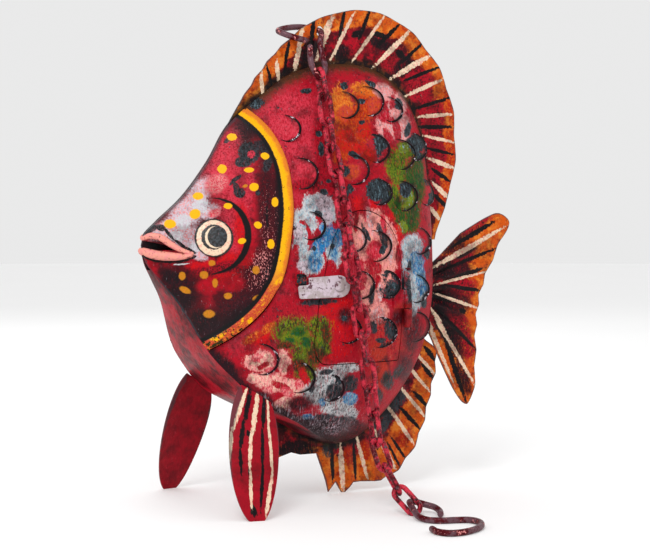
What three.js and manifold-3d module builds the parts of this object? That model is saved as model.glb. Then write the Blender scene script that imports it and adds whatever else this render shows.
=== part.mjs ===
// Painted sheet-metal fish lantern with a hinged door, standing on its fins.
// Millimetres, +Z up, z = 0 is the surface it stands on. The nose points to -X,
// and the flank with the door faces -Y. The fish's middle plane is y = 0.

import * as THREE from 'three';
import Module from 'manifold-3d';

const wasm = await Module();
wasm.setup();

// Driving dimensions
const SHEET = 1.4;            // wall of the flanks, head, door and band
const FIN_SHEET = 1.2;        // plate of every fin
const GAP = 0.35;             // between neighbouring pieces
const BULGE = 50;             // greatest half thickness of the body
const BULGE_AT = [-8, 135];   // x, z of the greatest thickness

// The edge of a flank all the way round: x, z, and half the distance to the other
// flank's edge. The two edges part along the belly, where the band joins them.
const SEAM = [
  [-137, 181, 1.5], [-127, 192, 2], [-108, 209, 2], [-90, 232, 2], [-74, 258, 1.8],
  [-50, 278, 1.2], [-26, 294, 1.2], [5, 301, 1.2], [36, 299, 1.2], [60, 284, 1.2],
  [75, 256, 1.2], [81, 215, 1.2], [82, 165, 1.2], [79, 125, 1.2], [68, 90, 1.2],
  [48, 61, 1.2], [25, 41, 1.2], [8, 36, 4], [-6, 39, 18], [-22, 46, 30],
  [-40, 56, 39], [-60, 66, 44], [-76, 76, 45], [-96, 97, 35], [-106, 112, 28],
  [-118, 138, 15], [-128, 153, 7], [-136, 166, 1.5],
];
const BAND_CROWN = 1.5;

// How a flank rises from its edge, by direction from the thickest point: degrees
// counted from +X towards +Z, then the two powers of the curve.
const RISE = [[0, 2.6, 2.0], [90, 1.25, 1.35], [180, 1.12, 1.08], [270, 2.2, 1.8], [360, 2.6, 2.0]];
const RINGS = 5;
const SPOKES = 34;
const RIDGE_ENDS = [0, 4];        // spokes between which a strip closes the forehead
const BAND_ENDS = [23, 33];       // spokes between which the belly band runs

// Head
const GILL = [[-70, 275], [-50, 253], [-42.5, 232], [-41, 208], [-43, 186], [-50, 157],
  [-62, 136], [-82, 119], [-116, 101]];
const GILL_FLARE = 3.6;           // height of the flared rim over the cheek
const GILL_FLARE_WIDTH = 7;
const MOUTH_SLIT = [[-146, 181.5], [-146, 173.5], [-113, 172.6], [-104, 171.2], [-113, 173.8]];
const UPPER_LIP = [[-100, 170.5], [-112, 174.8], [-126, 179.5], [-137, 182.2]];
const LOWER_LIP = [[-100, 169.5], [-112, 169.6], [-126, 169.8], [-137.5, 171.6]];
const LIP_HALF = [3.0, 3.2];      // half height and half depth of a lip
const EYE = { x: -93, z: 181, radius: 13, dome: 2.2 };

// Scales: x, z of each raised hood. They are cut and pressed by hand, so they keep
// no strict rows. The last list is on the door.
const SCALES = [
  [-38, 255], [-31, 222], [-29, 190], [6, 271], [25, 274], [42, 268], [23, 241],
  [3, 226], [24, 214], [44, 210], [44, 238], [51, 174], [57, 146], [52, 118],
  [-20, 80], [-44, 88],
];
const FAR_SCALES = [
  [-38, 255], [-31, 222], [6, 268], [42, 268], [23, 241], [-4, 226], [44, 210],
  [-8, 178], [22, 180], [-34, 140], [8, 140], [38, 128], [-16, 100], [14, 92],
];
const DOOR_SCALES = [[-3, 180], [15, 176], [2, 151], [22, 150], [19, 118], [-9, 116]];
const SCALE_RADIUS = 9;
const SCALE_HEIGHT = 2.4;
const HOOD_TURNS = [-180, -84, -28, 28, 84];

// Door, hinge and latch
const DOOR = { left: -34, right: 36, bottom: 96, top: 199, corner: 9 };
const DOOR_GAP = 0.6;
const HINGE = { x: 38.6, z: [119, 158], radius: 2.8, pin: 1.1, bore: 1.35, lift: 3.7 };
const LATCH = {
  x: -14.6, z: 148, facing: [-0.26, -1, 0.19],
  reach: 28, tail: 7.5, width: 15, thick: 1.3, lift: 1.0,
};
const RIVET = { shaft: 1.5, head: 3.5, headHeight: 1.5, play: 0.35 };
const KEEPER = { x: -38.4, z: 153.4, radius: 1.9, height: 5.2 };

// Fins: rays spread from a centre, and the plate is pressed into flutes along them
const FLUTE = 1.3;
const DORSAL = {
  centre: [-12, 262], angles: [188, -46], flutes: 14,
  edge: [[-75, 257], [-64, 275], [-51, 293], [-36, 310], [-10, 330], [10, 337], [30, 340],
    [59, 333], [85, 312], [101, 285], [107, 250], [104, 219], [97, 200], [90, 178]],
  depths: [-4, 1.5, 11, 62],
};
const FIN_HOLE = { x: -4, z: 323.5, radius: 3.6 };
const TAIL = {
  centre: [66, 142], angles: [42, -64], flutes: 8,
  edge: [[86, 173.5], [94, 173.5], [104, 179], [122, 188], [135, 194], [146, 197], [153, 192],
    [153, 186], [145, 173], [135, 154], [129, 139], [126, 122], [125, 103], [125, 83],
    [123, 66], [119, 57], [115, 58], [107, 67], [99, 81], [91, 97], [86, 109], [80, 115]],
  depths: [-4, 2, 12, 90],
};
const ANAL = {
  centre: [10, 115], angles: [-106, -2], flutes: 10,
  edge: [[82, 106], [90, 99], [91, 88], [87, 70], [82, 51], [77, 37], [71, 26], [65, 19],
    [58, 12], [45, 6], [22, 6.5], [14, -1.5], [9, 7.5], [2, 1.2], [-6, 28], [-6, 60]],
  depths: [-4, 1.5, 10, 48],
};
const KEEL = [[-4, 29], [-20, 29], [-27, 31], [-39, 27.5], [-47, 33], [-53, 64], [-4, 60]];
const REAR_FOOT_X = 14.3;           // middle of the rear foot's sole, which is the origin
const BAND_END_X = 20.5;          // the anal fin is let in between the flanks behind this

// Pelvic fins, which are the front feet
const PELVIC = {
  root: [-76, 46.2, 79], bend: [-84, 56, 46], tip: [-88, 73, -2], half: 16.8, cup: 3, turn: 10,
};

// Chain and hooks
const WIRE = 1.75;                // radius of the chain's wire
const LINK = { half: 12.95, bend: 4.3, pitch: 18.35 };
const LINK_TWIST = { from: 6, to: 16, angle: 110 };   // the chain's turn between two links
const LINK_COUNT = 17;
const HOOK_WIRE = 2.1;
const CHAIN_START = [-12.9, -15.8, 293.6];
const CHAIN_X = [                 // x, z and the height over the flank it hangs against
  [-13, 269.5, 9], [-14.2, 251.6, 8.4], [-12.8, 231.9, 8.2], [-11, 213, 8.2],
  [-10.8, 199.5, 8.4], [-10.3, 182, 9], [-9.2, 161, 9.8], [-7.8, 146, 10], [-6.2, 134, 9.8],
  [-2, 114, 9],
];
const CHAIN_FREE = [[2, -59.5, 86], [3.8, -61.5, 64], [3.4, -67, 46], [3.4, -76, 32],
  [5.2, -86, 19.4], [8.6, -95.5, 10.3], [12.4, -104.5, 3.2]];
const TOP_HOOK = [[-18.5, -6.4, 316], [-26, -6.2, 317.5], [-33, -3, 320], [-35, 2.4, 322.5],
  [-28, 6.4, 325], [-16, 7, 326.5], [-7, 4.6, 325.4], [-4, 0, 323.6], [-5.4, -4.8, 321.2],
  [-8.2, -8.4, 314], [-8.4, -11.8, 305], [-8, -14.8, 297.5], [-13, -17.4, 289.8],
  [-18, -14.8, 298], [-18, -12.4, 306], [-17.4, -11, 311]];
const FLOOR_HOOK = [[22.7, -117, 2.3], [26.5, -110, 2.8], [27, -103, 4.2], [23.5, -97.5, 5.4],
  [17.5, -94, 7.2], [12.4, -95.5, 7.8], [9.4, -101.5, 7.2], [6.4, -111, 4.8], [4, -121, 2.8],
  [5.6, -130, HOOK_WIRE], [12, -136, HOOK_WIRE], [21, -138.5, HOOK_WIRE], [28.5, -142, HOOK_WIRE],
  [30.5, -150, HOOK_WIRE], [25.5, -161, HOOK_WIRE], [15.4, -170, HOOK_WIRE],
  [3, -175, HOOK_WIRE], [-6, -174, HOOK_WIRE], [-10, -167, HOOK_WIRE], [-8.2, -157, HOOK_WIRE]];

const RED = 0xb01b33;
const MAROON = 0x7a1730;
const ORANGE = 0xc85a1c;
const ROSE = 0xa8405a;
const STEEL = 0x56525a;
const GREY_WHITE = 0xb9aeb2;

const degrees = Math.PI / 180;
const lerp = THREE.MathUtils.lerp;

// Solids

function solidOf(positions, indices) {
  const mesh = new wasm.Mesh({
    numProp: 3,
    vertProperties: new Float32Array(positions),
    triVerts: new Uint32Array(indices),
  });
  const solid = new wasm.Manifold(mesh);
  if (solid.volume() > 0) return solid;
  const flipped = [];
  for (let i = 0; i < indices.length; i += 3) flipped.push(indices[i], indices[i + 2], indices[i + 1]);
  return solidOf(positions, flipped);
}

function geometryOf(solid) {
  const mesh = solid.getMesh();
  const geometry = new THREE.BufferGeometry();
  geometry.setAttribute('position', new THREE.BufferAttribute(new Float32Array(mesh.vertProperties), 3));
  geometry.setIndex(new THREE.BufferAttribute(new Uint32Array(mesh.triVerts), 1));
  geometry.computeVertexNormals();
  return geometry;
}

// A closed wall between two grids of points that match row by row. A row of one
// point is a pole. With wrap, the last column meets the first.
function wall(front, back, wrap) {
  const positions = [];
  const indices = [];
  const number = (grid) => grid.map((row) => row.map((p) => {
    positions.push(p.x, p.y, p.z);
    return positions.length / 3 - 1;
  }));
  const f = number(front);
  const b = number(back);
  const quad = (p, q, r, s) => indices.push(p, q, r, p, r, s);
  const skin = (grid, turned) => {
    for (let i = 0; i + 1 < grid.length; i += 1) {
      const near = grid[i];
      const far = grid[i + 1];
      const count = wrap ? far.length : far.length - 1;
      for (let j = 0; j < count; j += 1) {
        const k = (j + 1) % far.length;
        if (near.length === 1) {
          indices.push(...(turned ? [near[0], far[k], far[j]] : [near[0], far[j], far[k]]));
        } else if (turned) {
          quad(near[k], far[k], far[j], near[j]);
        } else {
          quad(near[j], far[j], far[k], near[k]);
        }
      }
    }
  };
  skin(f, false);
  skin(b, true);
  const last = f.length - 1;
  const rim = (i, turned) => {
    const count = wrap ? f[i].length : f[i].length - 1;
    for (let j = 0; j < count; j += 1) {
      const k = (j + 1) % f[i].length;
      if (turned) quad(f[i][k], b[i][k], b[i][j], f[i][j]);
      else quad(f[i][j], b[i][j], b[i][k], f[i][k]);
    }
  };
  rim(last, false);
  if (f[0].length > 1) rim(0, true);
  if (!wrap) {
    for (let i = 0; i < last; i += 1) {
      const j = f[i].length - 1;
      quad(f[i][0], b[i][0], b[i + 1][0], f[i + 1][0]);
      quad(f[i + 1][j], b[i + 1][j], b[i][j], f[i][j]);
    }
  }
  return solidOf(positions, indices);
}

// A tube of the given section along a curve, closed by flat ends or into a ring.
function tube(curve, steps, sides, halfWidth, halfDepth, ring) {
  const frames = curve.computeFrenetFrames(steps, ring);
  const rows = [];
  const centres = [];
  for (let i = 0; i <= steps; i += 1) {
    if (ring && i === steps) break;
    const at = curve.getPointAt(i / steps);
    const row = [];
    for (let j = 0; j < sides; j += 1) {
      const turn = (2 * Math.PI * (j + 0.5)) / sides;
      row.push(at.clone()
        .addScaledVector(frames.normals[i], Math.cos(turn) * halfWidth)
        .addScaledVector(frames.binormals[i], Math.sin(turn) * halfDepth));
    }
    rows.push(row);
    centres.push(at);
  }
  const positions = [];
  const indices = [];
  rows.flat().forEach((p) => positions.push(p.x, p.y, p.z));
  const count = rows.length;
  for (let i = 0; i < (ring ? count : count - 1); i += 1) {
    for (let j = 0; j < sides; j += 1) {
      const a = i * sides + j;
      const b = i * sides + ((j + 1) % sides);
      const c = ((i + 1) % count) * sides + ((j + 1) % sides);
      const d = ((i + 1) % count) * sides + j;
      indices.push(a, b, c, a, c, d);
    }
  }
  if (!ring) {
    for (let j = 1; j + 1 < sides; j += 1) {
      const end = (count - 1) * sides;
      indices.push(0, j + 1, j, end, end + j, end + j + 1);
    }
  }
  return solidOf(positions, indices);
}

// The outline's points without any that repeat the one before.
function distinct(points) {
  const contour = points.map(([x, z]) => new THREE.Vector2(x, z));
  return contour.filter((p, i) => p.distanceTo(contour[(i + 1) % contour.length]) > 0.01);
}

// An upright plate of any outline in x and z, centred on y.
function plate(points, thick, y = 0) {
  const contour = distinct(points);
  if (THREE.ShapeUtils.isClockWise(contour)) contour.reverse();
  const positions = [];
  const indices = [];
  const count = contour.length;
  contour.forEach((p) => positions.push(p.x, y - thick / 2, p.y));
  contour.forEach((p) => positions.push(p.x, y + thick / 2, p.y));
  THREE.ShapeUtils.triangulateShape(contour, []).forEach(([a, b, c]) => {
    indices.push(a, b, c, a + count, c + count, b + count);
  });
  for (let i = 0; i < count; i += 1) {
    const j = (i + 1) % count;
    indices.push(i, i + count, j + count, i, j + count, j);
  }
  return solidOf(positions, indices);
}

// A round bar between two points, with a bore along it when inner is given.
function bar(from, to, radius, sides, inner = 0) {
  const axis = new THREE.Vector3().subVectors(to, from).normalize();
  const side = new THREE.Vector3(axis.z, axis.x, axis.y).cross(axis).normalize();
  const other = new THREE.Vector3().crossVectors(axis, side);
  const ringAt = (centre, r) => Array.from({ length: sides }, (_, j) => {
    const turn = (2 * Math.PI * j) / sides;
    return centre.clone()
      .addScaledVector(side, Math.cos(turn) * r)
      .addScaledVector(other, Math.sin(turn) * r);
  });
  if (inner > 0) {
    return wall([ringAt(from, radius), ringAt(to, radius)], [ringAt(from, inner), ringAt(to, inner)], true);
  }
  const positions = [];
  const indices = [];
  [...ringAt(from, radius), ...ringAt(to, radius)].forEach((p) => positions.push(p.x, p.y, p.z));
  for (let j = 0; j < sides; j += 1) {
    const k = (j + 1) % sides;
    indices.push(j, k, k + sides, j, k + sides, j + sides);
    if (j > 0 && j + 1 < sides) indices.push(0, j + 1, j, sides, sides + j, sides + j + 1);
  }
  return solidOf(positions, indices);
}

const smooth = (points, steps) => {
  const curve = new THREE.CatmullRomCurve3(points.map(([x, z]) => new THREE.Vector3(x, 0, z)));
  return curve.getPoints(steps).map((p) => [p.x, p.z]);
};
const box = ([x0, y0, z0], [x1, y1, z1]) => plate([[x0, z0], [x1, z0], [x1, z1], [x0, z1]],
  y1 - y0, (y0 + y1) / 2);

// The body's surface

const seam = new THREE.CatmullRomCurve3(
  SEAM.map(([x, z, half]) => new THREE.Vector3(x, half, z)),
  true,
  'catmullrom',
  0.5,
);
const seamSamples = Array.from({ length: 560 }, (_, i) => {
  const p = seam.getPoint(i / 560);
  const dx = p.x - BULGE_AT[0];
  const dz = p.z - BULGE_AT[1];
  return { turn: Math.atan2(dz, dx), reach: Math.hypot(dx, dz), half: p.y };
}).sort((a, b) => a.turn - b.turn);

function edgeAt(turn) {
  const n = seamSamples.length;
  let high = seamSamples.findIndex((s) => s.turn > turn);
  if (high < 0) high = 0;
  const a = seamSamples[(high + n - 1) % n];
  const b = seamSamples[high];
  const full = 2 * Math.PI;
  const t = ((turn - a.turn + full) % full) / ((b.turn - a.turn + full) % full);
  return { reach: lerp(a.reach, b.reach, t), half: lerp(a.half, b.half, t) };
}

function riseAt(turn) {
  const angle = ((turn / degrees) % 360 + 360) % 360;
  const i = RISE.findIndex(([at]) => at > angle);
  const [from, p0, q0] = RISE[i - 1];
  const [to, p1, q1] = RISE[i];
  const t = THREE.MathUtils.smoothstep(angle, from, to);
  return [lerp(p0, p1, t), lerp(q0, q1, t)];
}

// Half thickness of the body at x, z, over the wall's outer face.
function halfAt(x, z) {
  const dx = x - BULGE_AT[0];
  const dz = z - BULGE_AT[1];
  const turn = Math.atan2(dz, dx);
  const { reach, half } = edgeAt(turn);
  const [p, q] = riseAt(turn);
  const share = Math.min(1, Math.hypot(dx, dz) / reach);
  return half + (BULGE - half) * (1 - share ** p) ** (1 / q);
}

// Distance from the body's edge, counted outwards in the plane of the fins.
function beyondEdge(x, z) {
  const dx = x - BULGE_AT[0];
  const dz = z - BULGE_AT[1];
  return Math.hypot(dx, dz) - edgeAt(Math.atan2(dz, dx)).reach;
}

// Rings of points over one half of the body, from its thickest point to its edge.
function shellFace(side, inset) {
  const rows = [[new THREE.Vector3(BULGE_AT[0], side * (BULGE - inset), BULGE_AT[1])]];
  for (let i = 1; i <= RINGS; i += 1) {
    const share = 1 - (1 - i / RINGS) ** 1.5;
    const row = [];
    for (let j = 0; j < SPOKES; j += 1) {
      const edge = seam.getPointAt(j / SPOKES);
      const dx = edge.x - BULGE_AT[0];
      const dz = edge.z - BULGE_AT[1];
      const reach = Math.hypot(dx, dz);
      const [p, q] = riseAt(Math.atan2(dz, dx));
      const rise = (1 - share ** p) ** (1 / q);
      const scale = (share * (reach - inset)) / reach;
      const y = edge.y + (BULGE - inset - edge.y) * rise;
      row.push(new THREE.Vector3(BULGE_AT[0] + dx * scale, side * y, BULGE_AT[1] + dz * scale));
    }
    rows.push(row);
  }
  return rows;
}

// One pressed half of the body, nose to tail root, as a wall of true thickness.
const halfShell = (side) => wall(shellFace(side, 0), shellFace(side, SHEET), true);

// The facets of that wall's outer face, so that what is fixed to it sits on it.
const facets = (() => {
  const rows = shellFace(1, 0);
  const list = [];
  for (let i = 0; i < RINGS; i += 1) {
    for (let j = 0; j < SPOKES; j += 1) {
      const k = (j + 1) % SPOKES;
      const a = rows[i][j % rows[i].length];
      const c = rows[i + 1][k];
      list.push(new THREE.Triangle(a, rows[i + 1][j], c));
      if (i > 0) list.push(new THREE.Triangle(a, c, rows[i][k]));
    }
  }
  return list;
})();

function facetHalf(x, z) {
  const flat = (p) => new THREE.Vector3(p.x, 0, p.z);
  const share = new THREE.Vector3();
  const at = new THREE.Vector3(x, 0, z);
  for (const { a, b, c } of facets) {
    THREE.Triangle.getBarycoord(at, flat(a), flat(b), flat(c), share);
    if (Math.min(share.x, share.y, share.z) > -1e-6) {
      return share.x * a.y + share.y * b.y + share.z * c.y;
    }
  }
  return halfAt(x, z);
}

// A point on the flank at x, z, lifted off it along the smooth body's normal.
const onFlank = (side, x, z, lift = 0) => {
  const step = 0.5;
  const dydx = (halfAt(x + step, z) - halfAt(x - step, z)) / (2 * step);
  const dydz = (halfAt(x, z + step) - halfAt(x, z - step)) / (2 * step);
  const normal = new THREE.Vector3(-dydx, side, -dydz).normalize();
  const point = new THREE.Vector3(x, side * facetHalf(x, z), z);
  return { point: point.addScaledVector(normal, lift), normal };
};

// A strip that closes the body between the flanks' edges, from one spoke of the
// wall to another. spread is added to its half width.
function edgeStrip([first, last], shares, spread, crown) {
  const faces = [0, SHEET].map((inset) => {
    const rows = [];
    for (let j = first; j <= last; j += 1) {
      const edge = seam.getPointAt(j / SPOKES);
      const out = new THREE.Vector3(edge.x - BULGE_AT[0], 0, edge.z - BULGE_AT[1]).normalize();
      const half = edge.y + spread;
      rows.push(shares.map((u) => {
        const swell = crown * (1 - u * u) * Math.min(1, half / 20);
        return new THREE.Vector3(edge.x, u * half, edge.z).addScaledVector(out, swell - inset);
      }));
    }
    return rows;
  });
  return wall(faces[0], faces[1], false);
}

// Head

const gillLine = smooth(GILL, 11);
const ahead = plate([...gillLine, [-200, 95], [-200, 280]], 160);

function gillRim(side) {
  const inside = gillLine.filter(([x, z]) => beyondEdge(x, z) < -1.5);
  const front = [];
  const back = [];
  inside.forEach(([x, z], i) => {
    const [ax, az] = inside[Math.max(0, i - 1)];
    const [bx, bz] = inside[Math.min(inside.length - 1, i + 1)];
    const along = new THREE.Vector3(bx - ax, 0, bz - az).normalize();
    const { point, normal } = onFlank(side, x, z);
    const forward = new THREE.Vector3(along.z, 0, -along.x);
    if (forward.x > 0) forward.negate();
    forward.addScaledVector(normal, -forward.dot(normal)).normalize();
    const place = (ahead_, lift) => point.clone()
      .addScaledVector(forward, ahead_)
      .addScaledVector(normal, lift);
    front.push([place(GILL_FLARE_WIDTH, -0.4), place(3, 1.3), place(0.9, GILL_FLARE)]);
    back.push([place(GILL_FLARE_WIDTH - 0.3, -0.9), place(1.8, -0.8), place(0.05, GILL_FLARE - 0.5)]);
  });
  return wall(front, back, false);
}

function lip(points) {
  const near = points.map(([x, z]) => {
    const { point } = onFlank(-1, x, z, 0.6);
    return point;
  });
  near[near.length - 1].y = -1.2;
  const far = near.slice(0, -1).reverse().map((p) => new THREE.Vector3(p.x, -p.y, p.z));
  near[near.length - 1].y = 0;
  const curve = new THREE.CatmullRomCurve3([...near, ...far]);
  return tube(curve, 8, 5, LIP_HALF[0], LIP_HALF[1], false);
}

function eye(side) {
  const { point, normal } = onFlank(side, EYE.x, EYE.z);
  const across = new THREE.Vector3(0, 0, 1).cross(normal).normalize();
  const up = new THREE.Vector3().crossVectors(normal, across);
  const sides = 10;
  const ringAt = (radius, lift) => Array.from({ length: sides }, (_, j) => {
    const turn = (2 * Math.PI * j) / sides;
    return point.clone()
      .addScaledVector(across, Math.cos(turn) * radius)
      .addScaledVector(up, Math.sin(turn) * radius)
      .addScaledVector(normal, lift);
  });
  const top = point.clone().addScaledVector(normal, EYE.dome);
  const base = point.clone().addScaledVector(normal, -0.8);
  return wall(
    [[top], ringAt(EYE.radius * 0.62, EYE.dome * 0.85), ringAt(EYE.radius, 0.5)],
    [[base], ringAt(EYE.radius * 0.62, -0.8), ringAt(EYE.radius, -0.9)],
    true,
  );
}

function head() {
  let solid = halfShell(-1).add(halfShell(1)).intersect(ahead);
  solid = solid.add(edgeStrip(RIDGE_ENDS, [-1, 1], 0.25, 0));
  const slit = plate(MOUTH_SLIT, 90);
  solid = solid.subtract(slit);
  solid = solid.add(lip(UPPER_LIP)).add(lip(LOWER_LIP));
  [-1, 1].forEach((side) => {
    solid = solid.add(gillRim(side)).add(eye(side));
  });
  return solid;
}

// Flanks, door and scales

// A raised hood: it rises from its front point to a curved edge that stands open
// towards the tail.
function hood(side, x, z) {
  const { point, normal } = onFlank(side, x, z);
  const rearward = new THREE.Vector3(1, 0, -0.12);
  rearward.addScaledVector(normal, -rearward.dot(normal)).normalize();
  const across = new THREE.Vector3().crossVectors(normal, rearward);
  const outline = HOOD_TURNS.map((turn) => {
    const spot = point.clone()
      .addScaledVector(rearward, Math.cos(turn * degrees) * SCALE_RADIUS)
      .addScaledVector(across, Math.sin(turn * degrees) * SCALE_RADIUS);
    return { turn, spot };
  });
  const ringAt = (lift) => outline.map(({ turn, spot }) => (
    onFlank(side, spot.x, spot.z, lift(turn)).point));
  const top = onFlank(side, x, z, SCALE_HEIGHT * 0.8).point;
  const base = onFlank(side, x, z, -0.6).point;
  const rise = (turn) => SCALE_HEIGHT * Math.cos(turn * 0.45 * degrees) ** 1.5 - 0.4;
  return wall([[top], ringAt(rise)], [[base], ringAt(() => -0.6)], true);
}

const doorOutline = () => {
  const { left, right, bottom, top, corner } = DOOR;
  const path = new THREE.Path();
  path.moveTo(left + 2 + corner, bottom);
  path.lineTo(right, bottom);
  path.lineTo(right, 158);
  path.bezierCurveTo(right, 182, 25, top, 8, top);
  path.bezierCurveTo(-8, top, -19, 178, -24, 152);
  path.lineTo(left + 0.5, bottom + 17);
  path.quadraticCurveTo(left, bottom, left + 2 + corner, bottom);
  return path.getPoints(7).map((p) => [p.x, p.y]);
};

// The same outline, moved in or out about its own middle by the given distance.
function grown(points, by) {
  const kept = distinct(points);
  if (THREE.ShapeUtils.isClockWise(kept)) kept.reverse();
  return kept.map((p, i) => {
    const before = kept[(i + kept.length - 1) % kept.length];
    const after = kept[(i + 1) % kept.length];
    const a = new THREE.Vector2().subVectors(p, before).normalize();
    const b = new THREE.Vector2().subVectors(after, p).normalize();
    const out = new THREE.Vector2(a.y + b.y, -a.x - b.x).normalize();
    const reach = by / Math.max(0.4, out.dot(new THREE.Vector2(a.y, -a.x)));
    return [p.x + out.x * reach, p.y + out.y * reach];
  });
}

// A strip of metal laid on the flank between two heights, lifted at each side.
function leaf([x0, lift0], [x1, lift1], [z0, z1]) {
  const row = (x, lift) => [z0, (z0 + z1) / 2, z1].map((z) => onFlank(-1, x, z, lift).point);
  const middle = (x0 + x1) / 2;
  const lift = (lift0 + lift1) / 2 + 0.2;
  return wall(
    [row(x0, lift0 + 0.6), row(middle, lift + 0.6), row(x1, lift1 + 0.6)],
    [row(x0, lift0 - 0.6), row(middle, lift - 0.6), row(x1, lift1 - 0.6)],
    false,
  );
}

const hingeAxis = (() => {
  const middle = (HINGE.z[0] + HINGE.z[1]) / 2;
  return { x: HINGE.x, y: -(halfAt(HINGE.x, middle) + HINGE.lift) };
})();

function knuckle(z0, z1, leafFrom) {
  const at = (z) => new THREE.Vector3(hingeAxis.x, hingeAxis.y, z);
  const ears = leaf([leafFrom, 0.3], [HINGE.x, HINGE.lift - 0.4], [z0, z1]);
  const barrel = bar(at(z0), at(z1), HINGE.radius, 10);
  const bore = bar(at(z0 - 1), at(z1 + 1), HINGE.bore, 8);
  return barrel.add(ears).subtract(bore);
}

function flank(side) {
  const behind = ahead.translate(GAP * 2, 0, -GAP);
  let solid = halfShell(side).subtract(behind);
  if (side > 0) {
    FAR_SCALES.forEach(([x, z]) => {
      solid = solid.add(hood(side, x, z));
    });
    return solid;
  }
  solid = solid.subtract(plate(grown(doorOutline(), DOOR_GAP), 90, -55));
  SCALES.forEach(([x, z]) => {
    solid = solid.add(hood(side, x, z));
  });
  const [low, high] = HINGE.z;
  const share = (high - low) / 3;
  solid = solid.add(knuckle(low, low + share - 0.25, HINGE.x + 11));
  solid = solid.add(knuckle(high - share + 0.25, high, HINGE.x + 11));
  const root = onFlank(-1, KEEPER.x, KEEPER.z, -1).point;
  const end = root.clone().add(new THREE.Vector3(0, -KEEPER.height - 1, 0));
  return solid.add(bar(root, end, KEEPER.radius, 8));
}

function door() {
  let solid = halfShell(-1).intersect(plate(doorOutline(), 90, -55));
  DOOR_SCALES.forEach(([x, z]) => {
    solid = solid.add(hood(-1, x, z));
  });
  const [low, high] = HINGE.z;
  const share = (high - low) / 3;
  return solid.add(knuckle(low + share + 0.25, high - share - 0.25, HINGE.x - 11));
}

function hingePin() {
  const at = (z) => new THREE.Vector3(hingeAxis.x, hingeAxis.y, z);
  const [low, high] = HINGE.z;
  const head = bar(at(high + 2 * GAP), at(high + 2 * GAP + 1.2), HINGE.radius * 0.75, 8);
  return bar(at(low - 1.5), at(high + GAP + 0.6), HINGE.pin, 8).add(head);
}

// The strap lies in one plane, which faces so that it clears the fuller flank below
// when it swings down about its rivet.
const latchFrame = (() => {
  const normal = new THREE.Vector3(...LATCH.facing).normalize();
  const along = new THREE.Vector3(-1, 0, 0);
  along.addScaledVector(normal, -along.dot(normal)).normalize();
  const up = new THREE.Vector3().crossVectors(along, normal).normalize();
  const pivot = onFlank(-1, LATCH.x, LATCH.z).point.addScaledVector(normal, LATCH.lift);
  const place = (u, v, w) => pivot.clone()
    .addScaledVector(along, u).addScaledVector(up, v).addScaledVector(normal, w);
  return { normal, pivot, place };
})();

function latchStrap() {
  const { place } = latchFrame;
  const half = LATCH.width / 2;
  const outline = [];
  for (let i = 0; i <= 8; i += 1) {
    const turn = (90 + (180 * i) / 8) * degrees;
    outline.push([Math.cos(turn) * LATCH.tail, Math.sin(turn) * half]);
  }
  outline.push([LATCH.reach, -half + 0.6]);
  const notch = LATCH.x - KEEPER.x - KEEPER.radius - 1.4;
  outline.push([LATCH.reach, half - 5.6], [notch, half - 5.6], [notch, half - 0.4]);
  const faces = [LATCH.thick, 0].map((w) => outline.map(([u, v]) => place(u, v, w)));
  const positions = [];
  const indices = [];
  faces.flat().forEach((p) => positions.push(p.x, p.y, p.z));
  const count = outline.length;
  const flat = outline.map(([u, v]) => new THREE.Vector2(u, v));
  THREE.ShapeUtils.triangulateShape(flat, []).forEach(([a, b, c]) => {
    indices.push(a, b, c, a + count, c + count, b + count);
  });
  for (let i = 0; i < count; i += 1) {
    const j = (i + 1) % count;
    indices.push(i, i + count, j + count, i, j + count, j);
  }
  return solidOf(positions, indices)
    .subtract(bar(place(0, 0, -2), place(0, 0, LATCH.thick + 2), RIVET.shaft + RIVET.play, 12));
}

function latchRivet() {
  const { place } = latchFrame;
  const shaft = bar(place(0, 0, -LATCH.lift + 0.3), place(0, 0, LATCH.thick + 1), RIVET.shaft, 10);
  const top = LATCH.thick + 0.3;
  return shaft.add(bar(place(0, 0, top), place(0, 0, top + RIVET.headHeight), RIVET.head, 10));
}

// Fins

function alongRay([cx, cz], turn, depth) {
  let near = -60;
  let far = 160;
  for (let i = 0; i < 30; i += 1) {
    const middle = (near + far) / 2;
    const distance = beyondEdge(cx + Math.cos(turn) * middle, cz + Math.sin(turn) * middle);
    if (distance < depth) near = middle;
    else far = middle;
  }
  return [cx + Math.cos(turn) * near, cz + Math.sin(turn) * near];
}

// A fluted plate: rays from the fin's centre, crests and hollows turn by turn,
// flat where it is held between the flanks, cut to its outline.
function flutedFin(fin, outline) {
  const columns = fin.flutes * 2;
  const faces = [0.5, -0.5].map((half) => fin.depths.map((depth) => {
    const row = [];
    for (let j = 0; j <= columns; j += 1) {
      const turn = lerp(fin.angles[0], fin.angles[1], j / columns) * degrees;
      const [x, z] = alongRay(fin.centre, turn, depth);
      const swing = (j % 2 ? FLUTE : -FLUTE) * THREE.MathUtils.smoothstep(depth, 2, 12);
      row.push(new THREE.Vector3(x, swing + half * FIN_SHEET, z));
    }
    return row;
  }));
  return wall(faces[0], faces[1], false).intersect(plate(outline, 40));
}

function dorsalFin() {
  const outline = [...smooth(DORSAL.edge, 26), [60, 178], [-40, 230]];
  const at = (y) => new THREE.Vector3(FIN_HOLE.x, y, FIN_HOLE.z);
  return flutedFin(DORSAL, outline).subtract(bar(at(-9), at(9), FIN_HOLE.radius, 12));
}

function tailFin() {
  return flutedFin(TAIL, [...smooth(TAIL.edge, 30), [60, 116], [60, 172.5]]);
}

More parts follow.
